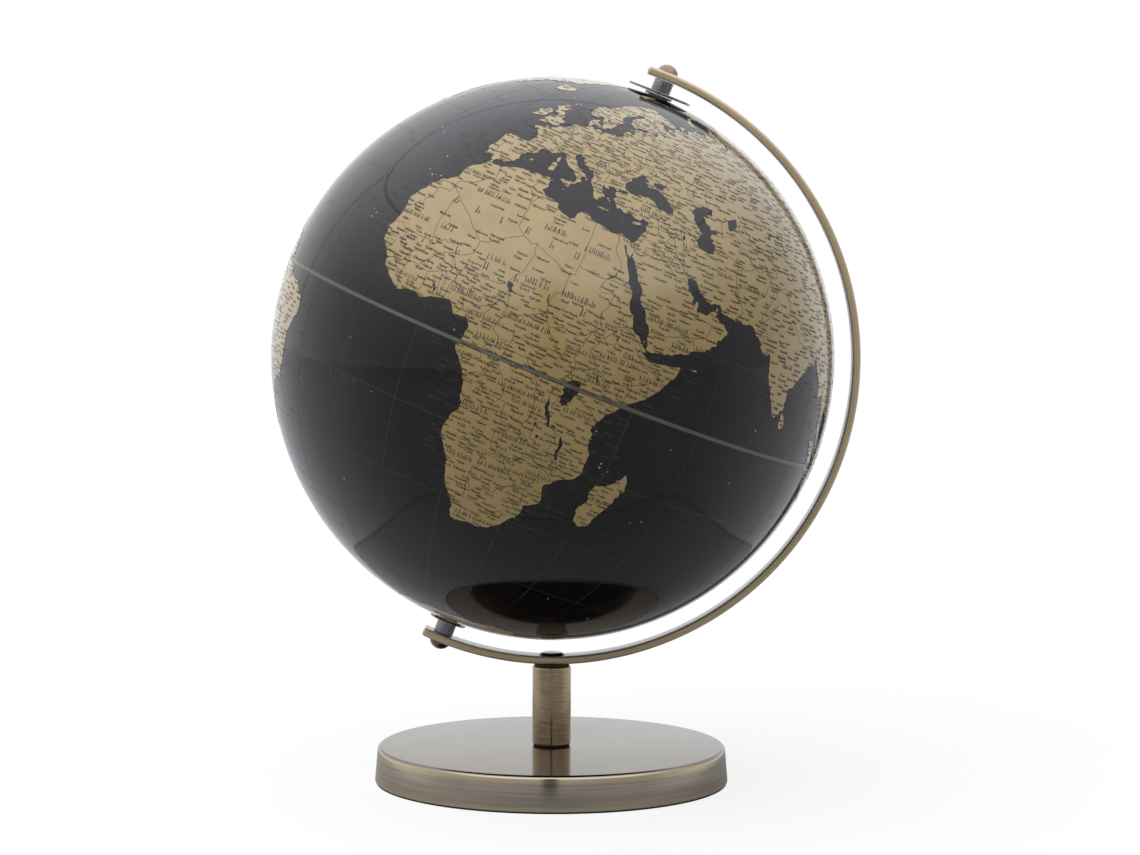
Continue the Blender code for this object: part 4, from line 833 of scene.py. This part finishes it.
BRASS_BASE = brushed("brass_base", "stand", (0.42, 0.355, 0.275), (0.66, 0.57, 0.455), (0.09, 0.17),
                     contrast=0.13, top=BASE_TOP)
BRASS_STEM = brushed("brass_stem", "stand", (0.32, 0.24, 0.15), (0.58, 0.455, 0.30), (0.10, 0.20),
                     stretch=0.8)
BRASS_POLE = brushed("brass_pole", "pole", (0.20, 0.145, 0.10), (0.30, 0.225, 0.165), (0.18, 0.32))
BRASS_ARM = brushed("brass_arm", "arm", (0.47, 0.365, 0.22), (0.66, 0.52, 0.33), (0.20, 0.34), coat=0.2,
                    metallic=0.4)
STEEL_TURNED = brushed("steel_turned", "stand", (0.26, 0.265, 0.27), (0.42, 0.425, 0.43), (0.18, 0.34))
STEEL_POLE = brushed("steel_pole", "pole", (0.19, 0.194, 0.20), (0.31, 0.315, 0.32), (0.08, 0.16))
DARK_STEEL = brushed("blackened_steel", "stand", (0.05, 0.048, 0.042), (0.11, 0.105, 0.09), (0.18, 0.3),
                     coat=0.4)
CAST_IRON = plain("cast_iron_painted", (0.02, 0.02, 0.02), (0.06, 0.058, 0.055), (0.55, 0.8), 60.0, 0.6, 0.5)
FOAM = plain("foam_pad", (0.010, 0.010, 0.010), (0.025, 0.024, 0.023), (0.85, 0.98), 220.0, 0.0, 0.6)
FIBRE = plain("black_fibre", (0.018, 0.013, 0.008), (0.045, 0.034, 0.022), (0.6, 0.8), 400.0, 0.0, 0.4)
ABS = plain("grey_abs", (0.25, 0.25, 0.25), (0.33, 0.33, 0.33), (0.45, 0.6), 90.0, 0.0, 0.2)
NYLON = plain("cream_nylon", (0.45, 0.43, 0.29), (0.59, 0.56, 0.41), (0.35, 0.5), 160.0, 0.0, 0.2)

OCEAN = printed("print_ocean", (0.0035, 0.0032, 0.0034), (0.0060, 0.0056, 0.0056), 14.0)
LAKE = printed("print_lake", (0.0045, 0.0042, 0.0042), (0.0080, 0.0075, 0.0075), 40.0)
LAND = printed("print_land", (0.276, 0.194, 0.060), (0.345, 0.243, 0.084), 16.0, sheen=0.7, metallic=0.25)
BORDER = printed("print_border", (0.065, 0.038, 0.015), (0.10, 0.062, 0.026), 30.0)
RIVER = printed("print_river", (0.035, 0.025, 0.014), (0.065, 0.047, 0.025), 30.0)
LABEL = printed("print_label", (0.020, 0.012, 0.006), (0.038, 0.025, 0.013), 60.0)
TOWN = printed("print_town", (0.026, 0.016, 0.007), (0.048, 0.031, 0.015), 60.0)
FAINT = printed("print_faint", (0.032, 0.031, 0.029), (0.052, 0.050, 0.046), 30.0)
EQUATOR = printed("print_equator", (0.075, 0.080, 0.058), (0.100, 0.105, 0.080), 20.0)


# ---------------------------------------------------------------- printed map

rng = random.Random(20)

land = Print("map_land", LAND_HEIGHT, LAND)
for outline, rough in ((AFRICA, 0.05), (EURASIA, 0.10), (NORTH_AMERICA, 0.12), (SOUTH_AMERICA, 0.07),
                       (AUSTRALIA, 0.08), (ANTARCTICA, 0.10), (ISLANDS, 0.09)):
    for path in split_paths(outline):
        land.add(*fill_outline(crinkle(path, True, rough, COAST_EDGE, rng)))
ISLAND_CORNERS = 9
for spot in next(split_paths(TINY_ISLANDS)):
    ring = []
    east = normalise(np.cross([0.3, 0.1, 1.0], spot))
    north = np.cross(spot, east)
    size = rng.uniform(0.25, 0.5) * MM / RADIUS
    for k in range(ISLAND_CORNERS):
        r, turn = size * rng.uniform(0.7, 1.3), k * math.tau / ISLAND_CORNERS
        ring.append(spot + east * r * math.cos(turn) + north * r * math.sin(turn))
    land.add(normalise(np.array(ring)), [tuple(range(ISLAND_CORNERS))])

lakes = Print("map_lakes", LINE_HEIGHT, LAKE)
for path in split_paths(LAKES):
    lakes.add(*fill_outline(crinkle(path, True, 0.10, COAST_EDGE, rng)))

borders = Print("map_borders", LINE_HEIGHT, BORDER)
for path in split_paths(BORDERS):
    borders.ribbon(crinkle(path, False, 0.035, BORDER_EDGE, rng), 0.22)
rivers = Print("map_rivers", RIVER_HEIGHT, RIVER)
for path in split_paths(RIVERS):
    rivers.ribbon(crinkle(path, False, 0.12, RIVER_EDGE, rng), 0.2)


def parallel(lat):
    lon = np.arange(0, 360, LINE_STEP)
    return unit(lon, np.full(len(lon), float(lat)))


def meridian(lon):
    lat = np.arange(-84, 84.1, LINE_STEP)
    return unit(np.full(len(lat), float(lon)), lat)


LINE_STEP, GRID_PITCH, GRID_WIDTH = 1.5, 15, 0.22   # degrees, degrees and millimetres
graticule = Print("map_graticule", GRID_HEIGHT, FAINT)
for lat in range(-75, 76, GRID_PITCH):
    if lat:
        graticule.ribbon(parallel(lat), GRID_WIDTH, closed=True)
for lon in range(0, 360, GRID_PITCH):
    graticule.ribbon(meridian(lon), GRID_WIDTH)

# the equator is a paler band between two dark lines
tape = Print("equator_tape", TAPE_HEIGHT, EQUATOR)
tape.ribbon(parallel(0), 1.25, closed=True)
for edge in (-0.36, 0.36):
    rivers.ribbon(parallel(edge), 0.3, closed=True)


# ---------------------------------------------------------------- unreadable labels

class Scribe:
    """Rows of meaningless strokes, the size and weight of printed names."""

    def __init__(self, layer):
        self.layer, self.boxes = layer, []

    def frame_at(self, spot):
        """East and north at a place on the ball."""
        east = normalise(np.cross(NORTH_AXIS, spot))
        return east, np.cross(spot, east)

    def quad(self, spot, east, north, a, b, width):
        """A straight stroke from a to b, in millimetres east and north of the spot."""
        ax, ay, bx, by = *a, *b
        size = math.hypot(bx - ax, by - ay) or 1.0
        sx, sy = -(by - ay) / size * width / 2, (bx - ax) / size * width / 2
        corners = [(ax + sx, ay + sy), (ax - sx, ay - sy), (bx - sx, by - sy), (bx + sx, by + sy)]
        scale = MM / RADIUS
        points = [spot + (east * x + north * y) * scale for x, y in corners]
        self.layer.add(normalise(np.array(points)), [(0, 1, 2, 3)])

    def mark(self, spot, east, north, h, weight, capital):
        """One invented letter. A capital is two stems with serifs; a small one, a stem or two with a hook."""
        low = -h / 2
        strokes = []
        if capital:
            w = h * rng.uniform(0.42, 0.60)
            second = rng.choice(((w / 2, h / 2), (w / 2, 0.12 * h), (w / 2, -0.1 * h), None))
            lean = rng.choice((0.0, 0.0, 0.12, -0.12)) * h
            for x, top in filter(None, ((-w / 2, h / 2), second)):
                strokes.append((x, low, x + lean, top, weight * rng.choice((1.0, 0.6))))
                for foot, y in ((x, low), (x + lean, top)):
                    strokes.append((foot - 0.13 * h, y, foot + 0.13 * h, y, 0.5 * weight))
            strokes.append((-w / 2, rng.uniform(-0.3, 0.35) * h, rng.uniform(-0.15, 0.1) * w, low + 0.1 * h,
                            0.5 * weight))
        else:
            w = h * rng.uniform(0.26, 0.36)
            top = h / 2 if rng.random() < 0.2 else low + 0.62 * h
            strokes.append((-w / 2, low, -w / 2, top, weight))
            if rng.random() < 0.7:
                strokes.append((w / 2, low, w / 2, low + 0.5 * h, weight))
            y = rng.choice((low, low + 0.58 * h))
            strokes.append((-w / 2, y, w * rng.uniform(0.1, 0.5), y, 0.7 * weight))
        for ax, ay, bx, by, thick in strokes:
            self.quad(spot, east, north, (ax, ay), (bx, by), thick)

    def free(self, spot, wide, tall):
        """Whether a box of that size, in millimetres, would touch no word that is already there."""
        if not self.boxes:
            return True
        spots = np.array([b[0] for b in self.boxes])
        sizes = np.array([b[1:] for b in self.boxes])
        east, north = self.frame_at(spot)
        off = (spots - spot) * (RADIUS / MM)
        same_side = np.abs(off @ spot) < 12
        beside = np.abs(off @ east) < (sizes[:, 0] + wide) / 2
        level = np.abs(off @ north) < (sizes[:, 1] + tall) / 2
        return not np.any(beside & level & same_side)

    def word(self, spot, letters, h, pitch, weight, town=False, margin=0.5):
        """A row of letters centred on a direction, that follows its parallel. It is left out where another
        word is in the way. A town has small letters and a square dot."""
        wide = letters * pitch
        if not self.free(spot, wide + margin, h + margin):
            return
        self.boxes.append((spot, wide, h))
        for k in range(letters):
            x = (k - (letters - 1) / 2) * pitch
            east, north = self.frame_at(spot)
            here = normalise(spot + east * (x * MM / RADIUS))
            east, north = self.frame_at(here)
            self.mark(here, east, north, h * rng.uniform(0.94, 1.04), weight, not town or k == 0)
        if town:
            east, north = self.frame_at(spot)
            x = -wide / 2 - 0.45
            self.quad(spot, east, north, (x - 0.22, 0), (x + 0.22, 0), 0.44)


def table_rows(text, size):
    values = [int(v) for v in text.split()]
    return [values[i:i + size] for i in range(0, len(values), size)]


def letter_count(wide, lat, pitch):
    """How many letters fill a width in degrees of longitude."""
    length = wide * math.cos(math.radians(lat)) * math.radians(1) * RADIUS / MM
    return max(4, round(length / pitch))


COUNTRY_SCALE = 1.5
names = Print("map_names", NAME_HEIGHT, LABEL)
scribe = Scribe(names)
for lon, lat in table_rows(BIG_LETTERS, 2):
    scribe.word(chart(lon / 10, lat / 10), 1, 2.9, 2.6, 0.42)
for lon, lat, wide, tall in table_rows(COUNTRY_LABELS, 4):
    h = COUNTRY_SCALE * tall / 10
    scribe.word(chart(lon / 10, lat / 10), letter_count(wide, lat / 10, 0.88 * h), h, 0.88 * h, 0.18 * h)

# town names fall at random on the land, each on a random triangle of it
triangles = np.array(land.points)[np.array([f[:3] for f in land.faces])]
areas = np.linalg.norm(np.cross(triangles[:, 1] - triangles[:, 0], triangles[:, 2] - triangles[:, 0]), axis=1)
chances = np.cumsum(areas)


def random_land():
    index = int(np.searchsorted(chances, rng.random() * chances[-1]))
    a, b = sorted((rng.random(), rng.random()))
    return normalise(triangles[min(index, len(triangles) - 1)].T @ np.array([a, b - a, 1 - b]))


# they crowd together in Europe and in the Near East, and the Sahara is nearly empty
TOWN_TRIES = 15000
CROWDS = [(unit(18.0, 49.0), 17), (unit(42.0, 36.0), 9)]
towns = Print("map_towns", NAME_HEIGHT, TOWN)
scribe.layer = towns
for _ in range(TOWN_TRIES):
    spot = random_land()
    local = spot @ MAP_AXES
    lat, lon = math.degrees(math.asin(local[2])), math.degrees(math.atan2(local[1], local[0]))
    crowded = any(spot @ middle > math.cos(math.radians(reach)) for middle, reach in CROWDS)
    empty = 17 < lat < 30 and -12 < lon < 32
    if rng.random() > (1.0 if crowded else 0.06 if empty else 0.85 if lat < 15 else 0.45) or abs(lat) > 70:
        continue
    h = rng.choice((1.05, 1.15, 1.25))
    shortest, pitch, margin = (3, 0.6, 0.12) if crowded else (4, 0.62, 0.25)
    scribe.word(spot, rng.randint(shortest, shortest + 4), h, pitch * h, 0.26, town=True, margin=margin)

# sand is printed as patches of a fine dot screen on the deserts
DOT_PITCH = 0.42
for lon in np.arange(-11, 56, DOT_PITCH):
    for lat in np.arange(17, 31, DOT_PITCH):
        if math.sin(lon * 0.9) + math.sin(lat * 1.3 + lon * 0.35) + math.sin(lon * 0.31 - lat * 0.8) < 0.85:
            continue
        spot = unit(lon + DOT_PITCH / 2 * (round(lat / DOT_PITCH) % 2), lat)
        if scribe.free(spot, 0.4, 0.4):
            east, north = scribe.frame_at(spot)
            scribe.quad(spot, east, north, (-0.07, 0), (0.07, 0), 0.14)

sea_names = Print("map_sea_names", SEA_NAME_HEIGHT, FAINT)
sea_scribe = Scribe(sea_names)
for lon, lat, wide, tall in table_rows(OCEAN_LABELS, 4):
    h = tall / 10
    sea_scribe.word(unit(lon / 10, lat / 10), letter_count(wide, lat / 10, 1.7 * h), h, 1.7 * h, 0.13 * h)
for spot in lattice(900):
    if abs(spot @ NORTH_AXIS) < 0.93 and rng.random() < 0.25:
        sea_scribe.word(spot, rng.randint(4, 9), 1.0, 0.8, 0.12)
# port and cape names crowd the coasts
for outline, share in ((AFRICA, 0.75), (EURASIA, 0.45), (SOUTH_AMERICA, 0.4), (NORTH_AMERICA, 0.3),
                       (AUSTRALIA, 0.4)):
    for spot in next(split_paths(outline)):
        for _ in range(3):
            if rng.random() < share and abs(spot @ NORTH_AXIS) < 0.9:
                east, north = sea_scribe.frame_at(spot)
                away = east * rng.uniform(-0.1, 0.1) + north * rng.uniform(-0.03, 0.03)
                sea_scribe.word(normalise(spot + away), rng.randint(4, 9), 1.0, 0.7, 0.13)

for layer in (land, lakes, borders, rivers, graticule, tape, names, towns, sea_names):
    layer.build()


# ---------------------------------------------------------------- globe shells

def shell(name, sign, node):
    """Half of the hollow ball, from the seam at the equator to the hole at the pole."""
    hole, seam, wall = SHELL_HOLE * MM, SHELL_SEAM * MM, SHELL_WALL * MM
    rings = 48
    outline = []
    for radius, order in ((RADIUS, range(rings + 1)), (RADIUS - wall, range(rings, -1, -1))):
        low, high = math.asin(seam / radius), math.acos(hole / radius)
        for k in order:
            lat = low + (high - low) * k / rings
            outline.append((radius * math.cos(lat), sign * radius * math.sin(lat)))
    if sign > 0:
        outline.reverse()
    matrix = Matrix.Translation(Vector(CENTRE)) @ POLAR
    mesh = turned(name, outline, 192, OCEAN, "globe", (node,), matrix, closed=True).data
    # both curved faces shade as a true ball, and the rims stay flat
    normals = []
    for polygon in mesh.polygons:
        spots = [mesh.vertices[v].co - Vector(CENTRE) for v in polygon.vertices]
        outer = all(s.length > RADIUS - 0.5 * wall for s in spots)
        inner = all(s.length < RADIUS - 0.5 * wall for s in spots)
        for s in spots:
            normals.append(s.normalized() if outer else -s.normalized() if inner else polygon.normal.copy())
    mesh.normals_split_custom_set(normals)


shell("globe_skin_north", 1, "north_hemisphere")
shell("globe_skin_south", -1, "south_hemisphere")


# ---------------------------------------------------------------- stand

# the corners and the fillet are in millimetres; a ring's outline is closed, and a disc's isn't
for name, corners, fillet, steps, segments, material, slot, node, is_ring in (
        ("base_cover", [(5, BASE_TOP), (77.9, BASE_TOP, 2.2), (79.2, 0.8, 0.3), (78.0, 0.8, 0.3),
                        (76.7, 15.1, 1.0), (5, 15.1)], 0.5, 8, 256,
         BRASS_BASE, "antique_brass", "base_shell", True),
        ("base_pad", [(0, 1.2), (76, 1.2), (76, 0.7), (78.8, 0.7), (78.8, 0), (0, 0)], 0.2, 3, 160,
         FOAM, "foam_rubber", "foot_pad", False),
        ("stem_seat", [(4.2, 16.9), (8.1, 16.9), (8.1, 16.5), (4.2, 16.5)], 0.1, 2, 96,
         FIBRE, "black_fibre", "stem_seat_ring", True),
        ("stem_column", [(3.2, 52.2), (8.65, 52.2, 0.5), (8.65, 17.1, 0.5), (3.2, 17.1)], 0.3, 5, 128,
         BRASS_STEM, "antique_brass", "stem", True),
        ("stem_top_ring", [(4.2, 53.2), (7.9, 53.2), (7.9, 52.4), (4.2, 52.4)], 0.2, 3, 96,
         FIBRE, "black_fibre", "stem_collar", True)):
    outline = rounded(mm(corners), fillet * MM, steps)
    turned(name, outline, segments, material, "stand", (node,), closed=is_ring)


def arm():
    """The bent strip: a rounded rectangle swept round the globe, with softened ends."""
    inner, outer, half, edge = ARM_INNER, ARM_OUTER, ARM_HALF_WIDTH, ARM_EDGE_ROUND
    middle = (inner + outer) / 2
    overhang = ARM_PAST_POLE / middle
    steps, corner_steps = 220, 6
    section = []
    for cx, cy, start in ((outer - edge, half - edge, 0), (inner + edge, half - edge, 90),
                          (inner + edge, edge - half, 180), (outer - edge, edge - half, 270)):
        for k in range(corner_steps + 1):
            a = math.radians(start + 90 * k / corner_steps)
            section.append((cx + edge * math.cos(a), cy + edge * math.sin(a)))
    # stations along the strip: the angle from its end, and how far the section is inset to round the end
    rounding = ((0.0, 1.1), (0.1, 0.62), (0.32, 0.26), (0.65, 0.06), (1.1, 0.0))
    stations = [(run / middle, inset) for run, inset in rounding]
    total = math.pi + 2 * overhang
    for k in range(1, steps):
        stations.append((total * k / steps, 0.0))
    stations += [(total - a, inset) for a, inset in reversed(stations[:len(rounding)])]
    points, faces = [], []
    for angle, inset in stations:
        theta = TILT - overhang + angle
        for r, y in section:
            r = middle + (r - middle) * (1 - inset / (outer - middle))
            y = y * (1 - inset / half)
            points.append((CENTRE[0] + r * MM * math.sin(theta), y * MM,
                           CENTRE[2] + r * MM * math.cos(theta)))
    n = len(section)
    for i in range(len(stations) - 1):
        for k in range(n):
            a, b = i * n + k, i * n + (k + 1) % n
            faces.append((a, b, b + n, a + n))
    faces.append(tuple(range(n - 1, -1, -1)))
    faces.append(tuple((len(stations) - 1) * n + k for k in range(n)))
    mesh = make_mesh("arm_strip", points, faces)
    mesh.set_sharp_from_angle(angle=math.radians(40))
    add_object("arm_strip", mesh, BRASS_ARM, "stand", ("meridian_arm",))


arm()


def cross_cut(obj, size, width, top, depth, place=None):
    """Cut a cross recess with tapered arms down from `top`. Lengths are in metres."""
    cutter = bpy.data.meshes.new("cutter")
    points, faces = [], []
    for turned_over in (False, True):
        base = len(points)
        for z, shrink in ((top + 1 * MM, 1.0), (top - depth, 0.55)):
            for x, y in ((-1, -1), (1, -1), (1, 1), (-1, 1)):
                px, py = x * size / 2 * shrink, y * width / 2 * (0.5 + 0.5 * shrink)
                points.append((py, px, z) if turned_over else (px, py, z))
        for f in ((0, 1, 2, 3), (7, 6, 5, 4), (0, 4, 5, 1), (1, 5, 6, 2), (2, 6, 7, 3), (3, 7, 4, 0)):
            face = tuple(base + v for v in f)
            faces.append(face if turned_over else tuple(reversed(face)))
    cutter.from_pydata(points, [], faces)
    if place is not None:
        cutter.transform(place)
    tool = bpy.data.objects.new("cutter", cutter)
    bpy.context.scene.collection.objects.link(tool)
    change = obj.modifiers.new("cut", "BOOLEAN")
    change.operation, change.solver, change.object = "DIFFERENCE", "EXACT", tool
    change.use_self = True
    bpy.context.view_layer.update()
    result = bpy.data.meshes.new_from_object(obj.evaluated_get(bpy.context.evaluated_depsgraph_get()))
    obj.modifiers.clear()
    old = obj.data
    obj.data = result
    bpy.data.meshes.remove(old)
    bpy.data.objects.remove(tool)
    result.shade_smooth()
    result.set_sharp_from_angle(angle=math.radians(32))


def dome(radius, low, high, steps=12):
    """Outline of a low domed head, from its middle to its rim and back under it."""
    h = high - low
    curve = (radius * radius + h * h) / (2 * h)
    chamfer = 0.12
    points = []
    for k in range(steps + 1):
        r = radius * k / steps
        points.append((r, low + math.sqrt(max(0.0, curve * curve - r * r)) - (curve - h)))
    points[-1] = (radius, low + chamfer)
    return points + [(radius - chamfer, low), (0, low)]


# the hardware of each pole; the north washer is the wider and the thicker one
for end, sign, washer_radius, washer_top in (("north", 1, 14.5, 127.2), ("south", -1, 8.4, 126.8)):
    place = Matrix.Translation(Vector(CENTRE)) @ POLAR
    if sign < 0:
        place = place @ Matrix.Rotation(math.pi, 4, "X")
    dome_outline = mm(dome(PIVOT_HEAD_RADIUS, PIVOT_HEAD_SEAT, PIVOT_HEAD_TOP))
    head = turned(f"{end}_pivot_head", dome_outline, 96, BRASS_POLE, "stand",
                  (f"{end}_pivot_screw",), place)
    cross_cut(head, 4.6 * MM, 1.0 * MM, PIVOT_HEAD_TOP * MM, 1.9 * MM, place)
    for name, node, radius, low, high, fillet, steps, segments in (
            ("spacer_tube", "spacer", SPACER_RADIUS, washer_top + 0.3, SPACER_TOP, 0.25, 4, 96),
            ("thin_washer", "washer", washer_radius, WASHER_UNDERSIDE, washer_top, 0.2, 3, 128)):
        outline = rounded(mm([(BORE, high), (radius, high), (radius, low), (BORE, low)]), fillet * MM, steps)
        turned(f"{end}_{name}", outline, segments, STEEL_POLE, "stand", (f"{end}_{node}",),
               place, closed=True)

# arm_screw: a wide low head that stands just proud of the inner face of the arm
outline = rounded(mm([(0, ARM_SCREW_TOP), (4.6, 58.2, 1.2), (6.0, 57.2, 0.2), (3.0, 54.4, 0.2), (0, 54.4)]),
                  0.3 * MM, 4)
screw = turned("arm_screw_head", outline, 96, DARK_STEEL, "stand", ("arm_screw",))
cross_cut(screw, 6.4 * MM, 1.3 * MM, ARM_SCREW_TOP * MM, 2.1 * MM)

# the rest of the CAD nodes stay, with finishes of their own
FINISH = {
    "ballast_weight": CAST_IRON, "stem_bolt": DARK_STEEL, "stem_bolt_washer": STEEL_TURNED,
    "stem_bolt_lock_washer": STEEL_TURNED, "equator_joint_ring": ABS, "north_bush": NYLON,
    "south_bush": NYLON, "north_bush_clip": STEEL_TURNED, "south_bush_clip": STEEL_TURNED,
}
for node, material in FINISH.items():
    for slot in frame["nodes"][node].material_slots:
        slot.material = material


# ---------------------------------------------------------------- stage, light and camera

def studio():
    """A white light tent, open to a dim room in front: bright ceiling, softer walls, thin dark seams."""
    world = bpy.data.worlds.new("studio")
    bpy.context.scene.world = world
    m = Nodes("studio", world)
    split = m.node("ShaderNodeSeparateXYZ")
    m.link(m.node("ShaderNodeTexCoord").outputs["Generated"], split.inputs[0])
    x, y, z = split.outputs
    facing = m.spread(y, -1.0, 1.0, 0.0, 1.0)
    room = m.ramp(facing, [(0.0, (0.43, 0.435, 0.445)), (0.3, (0.49, 0.495, 0.51)),
                           (0.5, (0.66, 0.665, 0.68)), (0.8, (0.92, 0.92, 0.93)), (1.0, (1.02, 1.02, 1.02))])
    room = m.mix(1.0, room, m.as_grey(m.spread(x, 0.2, 0.9, 1.0, 0.78)), "MULTIPLY")
    behind = m.ramp(z, [(0.0, grey(0.0)), (0.2, grey(0.03)), (0.34, grey(0.11)), (0.5, grey(0.38)),
                        (0.7, grey(0.85)), (0.8, grey(1.0))])
    before = m.ramp(z, [(0.08, grey(0.0)), (0.2, grey(0.09)), (0.3, grey(0.17)), (0.41, grey(0.32)),
                        (0.48, grey(0.85)), (0.55, grey(1.0))])
    rise = m.mix(m.spread(y, -0.45, 0.0, 1.0, 0.0), behind, before)
    light = m.mix(rise, room, (1.68, 1.70, 1.80))
    # seams of the tent: round the ceiling, which has rounded corners, and down the back corners
    side = m.math("DIVIDE", m.math("ABSOLUTE", x), 1.08)
    back = m.math("DIVIDE", m.math("MAXIMUM", y, 0.0), 0.93)
    rim = m.squircle(side, back, 5.0)
    ceiling = m.spread(m.gap(rim, z), 0.004, 0.018, 0.66, 1.0)
    corner = m.spread(m.gap(side, back), 0.004, 0.03, 0.78, 1.0)
    corner = m.math("MAXIMUM", corner, m.spread(m.math("SUBTRACT", rim, z), 0.0, 0.02, 1.0, 0.0))
    seam = m.math("MAXIMUM", m.math("MULTIPLY", ceiling, corner), m.spread(y, 0.0, -0.1, 0.0, 1.0))
    seam = m.math("MAXIMUM", seam, m.spread(z, 0.1, 0.2, 1.0, 0.0))
    # the gap that the camera looks in through
    slit = m.spread(m.math("ABSOLUTE", x), 0.05, 0.12, 0.2, 1.0)
    slit = m.math("MAXIMUM", slit, m.spread(y, -0.6, -0.3, 0.0, 1.0))
    slit = m.math("MAXIMUM", slit, m.spread(z, 0.45, 0.6, 0.0, 1.0))
    light = m.mix(1.0, light, m.as_grey(m.math("MULTIPLY", seam, slit)), "MULTIPLY")
    # a flag on the right keeps the light off the inks there
    path = m.node("ShaderNodeLightPath")
    flag = m.mix(path.outputs["Is Diffuse Ray"], grey(1.0), m.as_grey(m.spread(x, -0.2, 0.7, 1.0, 0.15)))
    light = m.mix(1.0, light, flag, "MULTIPLY")
    background = m.tree.nodes["Background"]
    m.link(light, background.inputs["Color"])
    white = m.node("ShaderNodeBackground")
    white.inputs["Color"].default_value = (1, 1, 1, 1)
    m.by_camera(path, background, white, "World Output")


def paper():
    """The white sheet under the stand. Reflections and bounce see it dimmer than the camera does."""
    m = Nodes("paper")
    where, (x, y, _) = m.place()
    fibres = m.noise(where, 900.0, 3.0)
    far = m.math("ADD", length_of(m, x, y), 0.15)
    facing = m.spread(m.math("DIVIDE", y, far), -1.0, 1.0, 0.0, 1.0)
    bounce = m.ramp(facing, [(0.0, grey(0.24)), (0.3, grey(0.32)), (0.5, grey(0.56)), (1.0, grey(0.80))])
    # the sheet is a rounded square; its rim shows as a faint line in the varnish
    ax = m.math("DIVIDE", m.math("ABSOLUTE", x), 0.192)
    ay = m.math("DIVIDE", m.gap(y, 0.03), 0.205)
    edge = m.squircle(ax, ay, 7.0)
    near = m.spread(y, -0.18, -0.08, 0.27, 0.41)
    sheet = m.mix(m.spread(edge, 0.995, 1.005, 1.0, 0.0), bounce, m.as_grey(near))
    sheet = m.mix(m.spread(m.gap(edge, 1.0), 0.005, 0.018, 0.32, 0.0), sheet, grey(0.05))
    path = m.node("ShaderNodeLightPath")
    sheet = m.mix(m.math("MULTIPLY", path.outputs["Is Diffuse Ray"], 0.5), sheet, grey(1.0))
    dim = m.node("ShaderNodeBsdfDiffuse")
    m.link(sheet, dim.inputs["Color"])
    bright = m.node("ShaderNodeBsdfDiffuse")
    m.link(m.ramp(fibres, [(0.3, grey(0.87)), (0.7, grey(0.91))]), bright.inputs["Color"])
    glow = m.node("ShaderNodeEmission")
    glow.inputs["Strength"].default_value = 1.03
    lit = m.node("ShaderNodeMixShader")
    lit.inputs[0].default_value = 0.76
    m.link(bright.outputs[0], lit.inputs[1])
    m.link(glow.outputs[0], lit.inputs[2])
    m.by_camera(path, dim, lit, "Material Output")
    return m.material


studio()
floor_mesh = bpy.data.meshes.new("floor")
REACH = 6.0
floor_mesh.from_pydata([(x * REACH, y * REACH, 0) for x, y in ((-1, -1), (1, -1), (1, 1), (-1, 1))], [],
                       [(0, 1, 2, 3)])
floor = bpy.data.objects.new("floor", floor_mesh)
bpy.context.scene.collection.objects.link(floor)
floor_mesh.materials.append(paper())


def key():
    """A soft lamp high on the left. It lights the inks, and the tent alone makes the reflections."""
    data = bpy.data.lights.new("key", "AREA")
    data.shape, data.size, data.energy = "DISK", 1.1, 5.0
    data.color = (1.0, 0.985, 0.96)
    obj = bpy.data.objects.new("key", data)
    bpy.context.scene.collection.objects.link(obj)
    spot = Vector((-1.15, -1.15, 1.15))
    aim = (spot - Vector(CENTRE)).to_track_quat("Z", "Y").to_matrix().to_4x4()
    obj.matrix_world = Matrix.Translation(spot) @ aim
    obj.visible_glossy = False


key()


def camera():
    """The lens, place and aim that give the photograph's view of a 250 mm ball."""
    yaw, pitch, roll = math.radians(0.446), math.radians(-4.748), math.radians(0.255)
    turn = Matrix.Rotation(yaw, 3, "Z") @ Matrix.Rotation(pitch, 3, "X")
    right, ahead, up = turn.col[0], turn.col[1], turn.col[2]
    across = right * math.cos(roll) + up * math.sin(roll)
    lift = up * math.cos(roll) - right * math.sin(roll)
    data = bpy.data.cameras.new("camera")
    focal_length, frame_width = 3436.5, 1140   # in pixels of the photograph
    data.sensor_width = 36.0
    data.lens = focal_length / frame_width * data.sensor_width
    data.clip_start, data.clip_end = 0.05, 50
    obj = bpy.data.objects.new("camera", data)
    bpy.context.scene.collection.objects.link(obj)
    pose = Matrix((across, lift, -ahead)).transposed().to_4x4()
    pose.translation = Vector((0.0196, -1.5283, 0.2863))
    obj.matrix_world = pose
    bpy.context.scene.camera = obj


camera()
bpy.context.scene.view_settings.view_transform = "Standard"
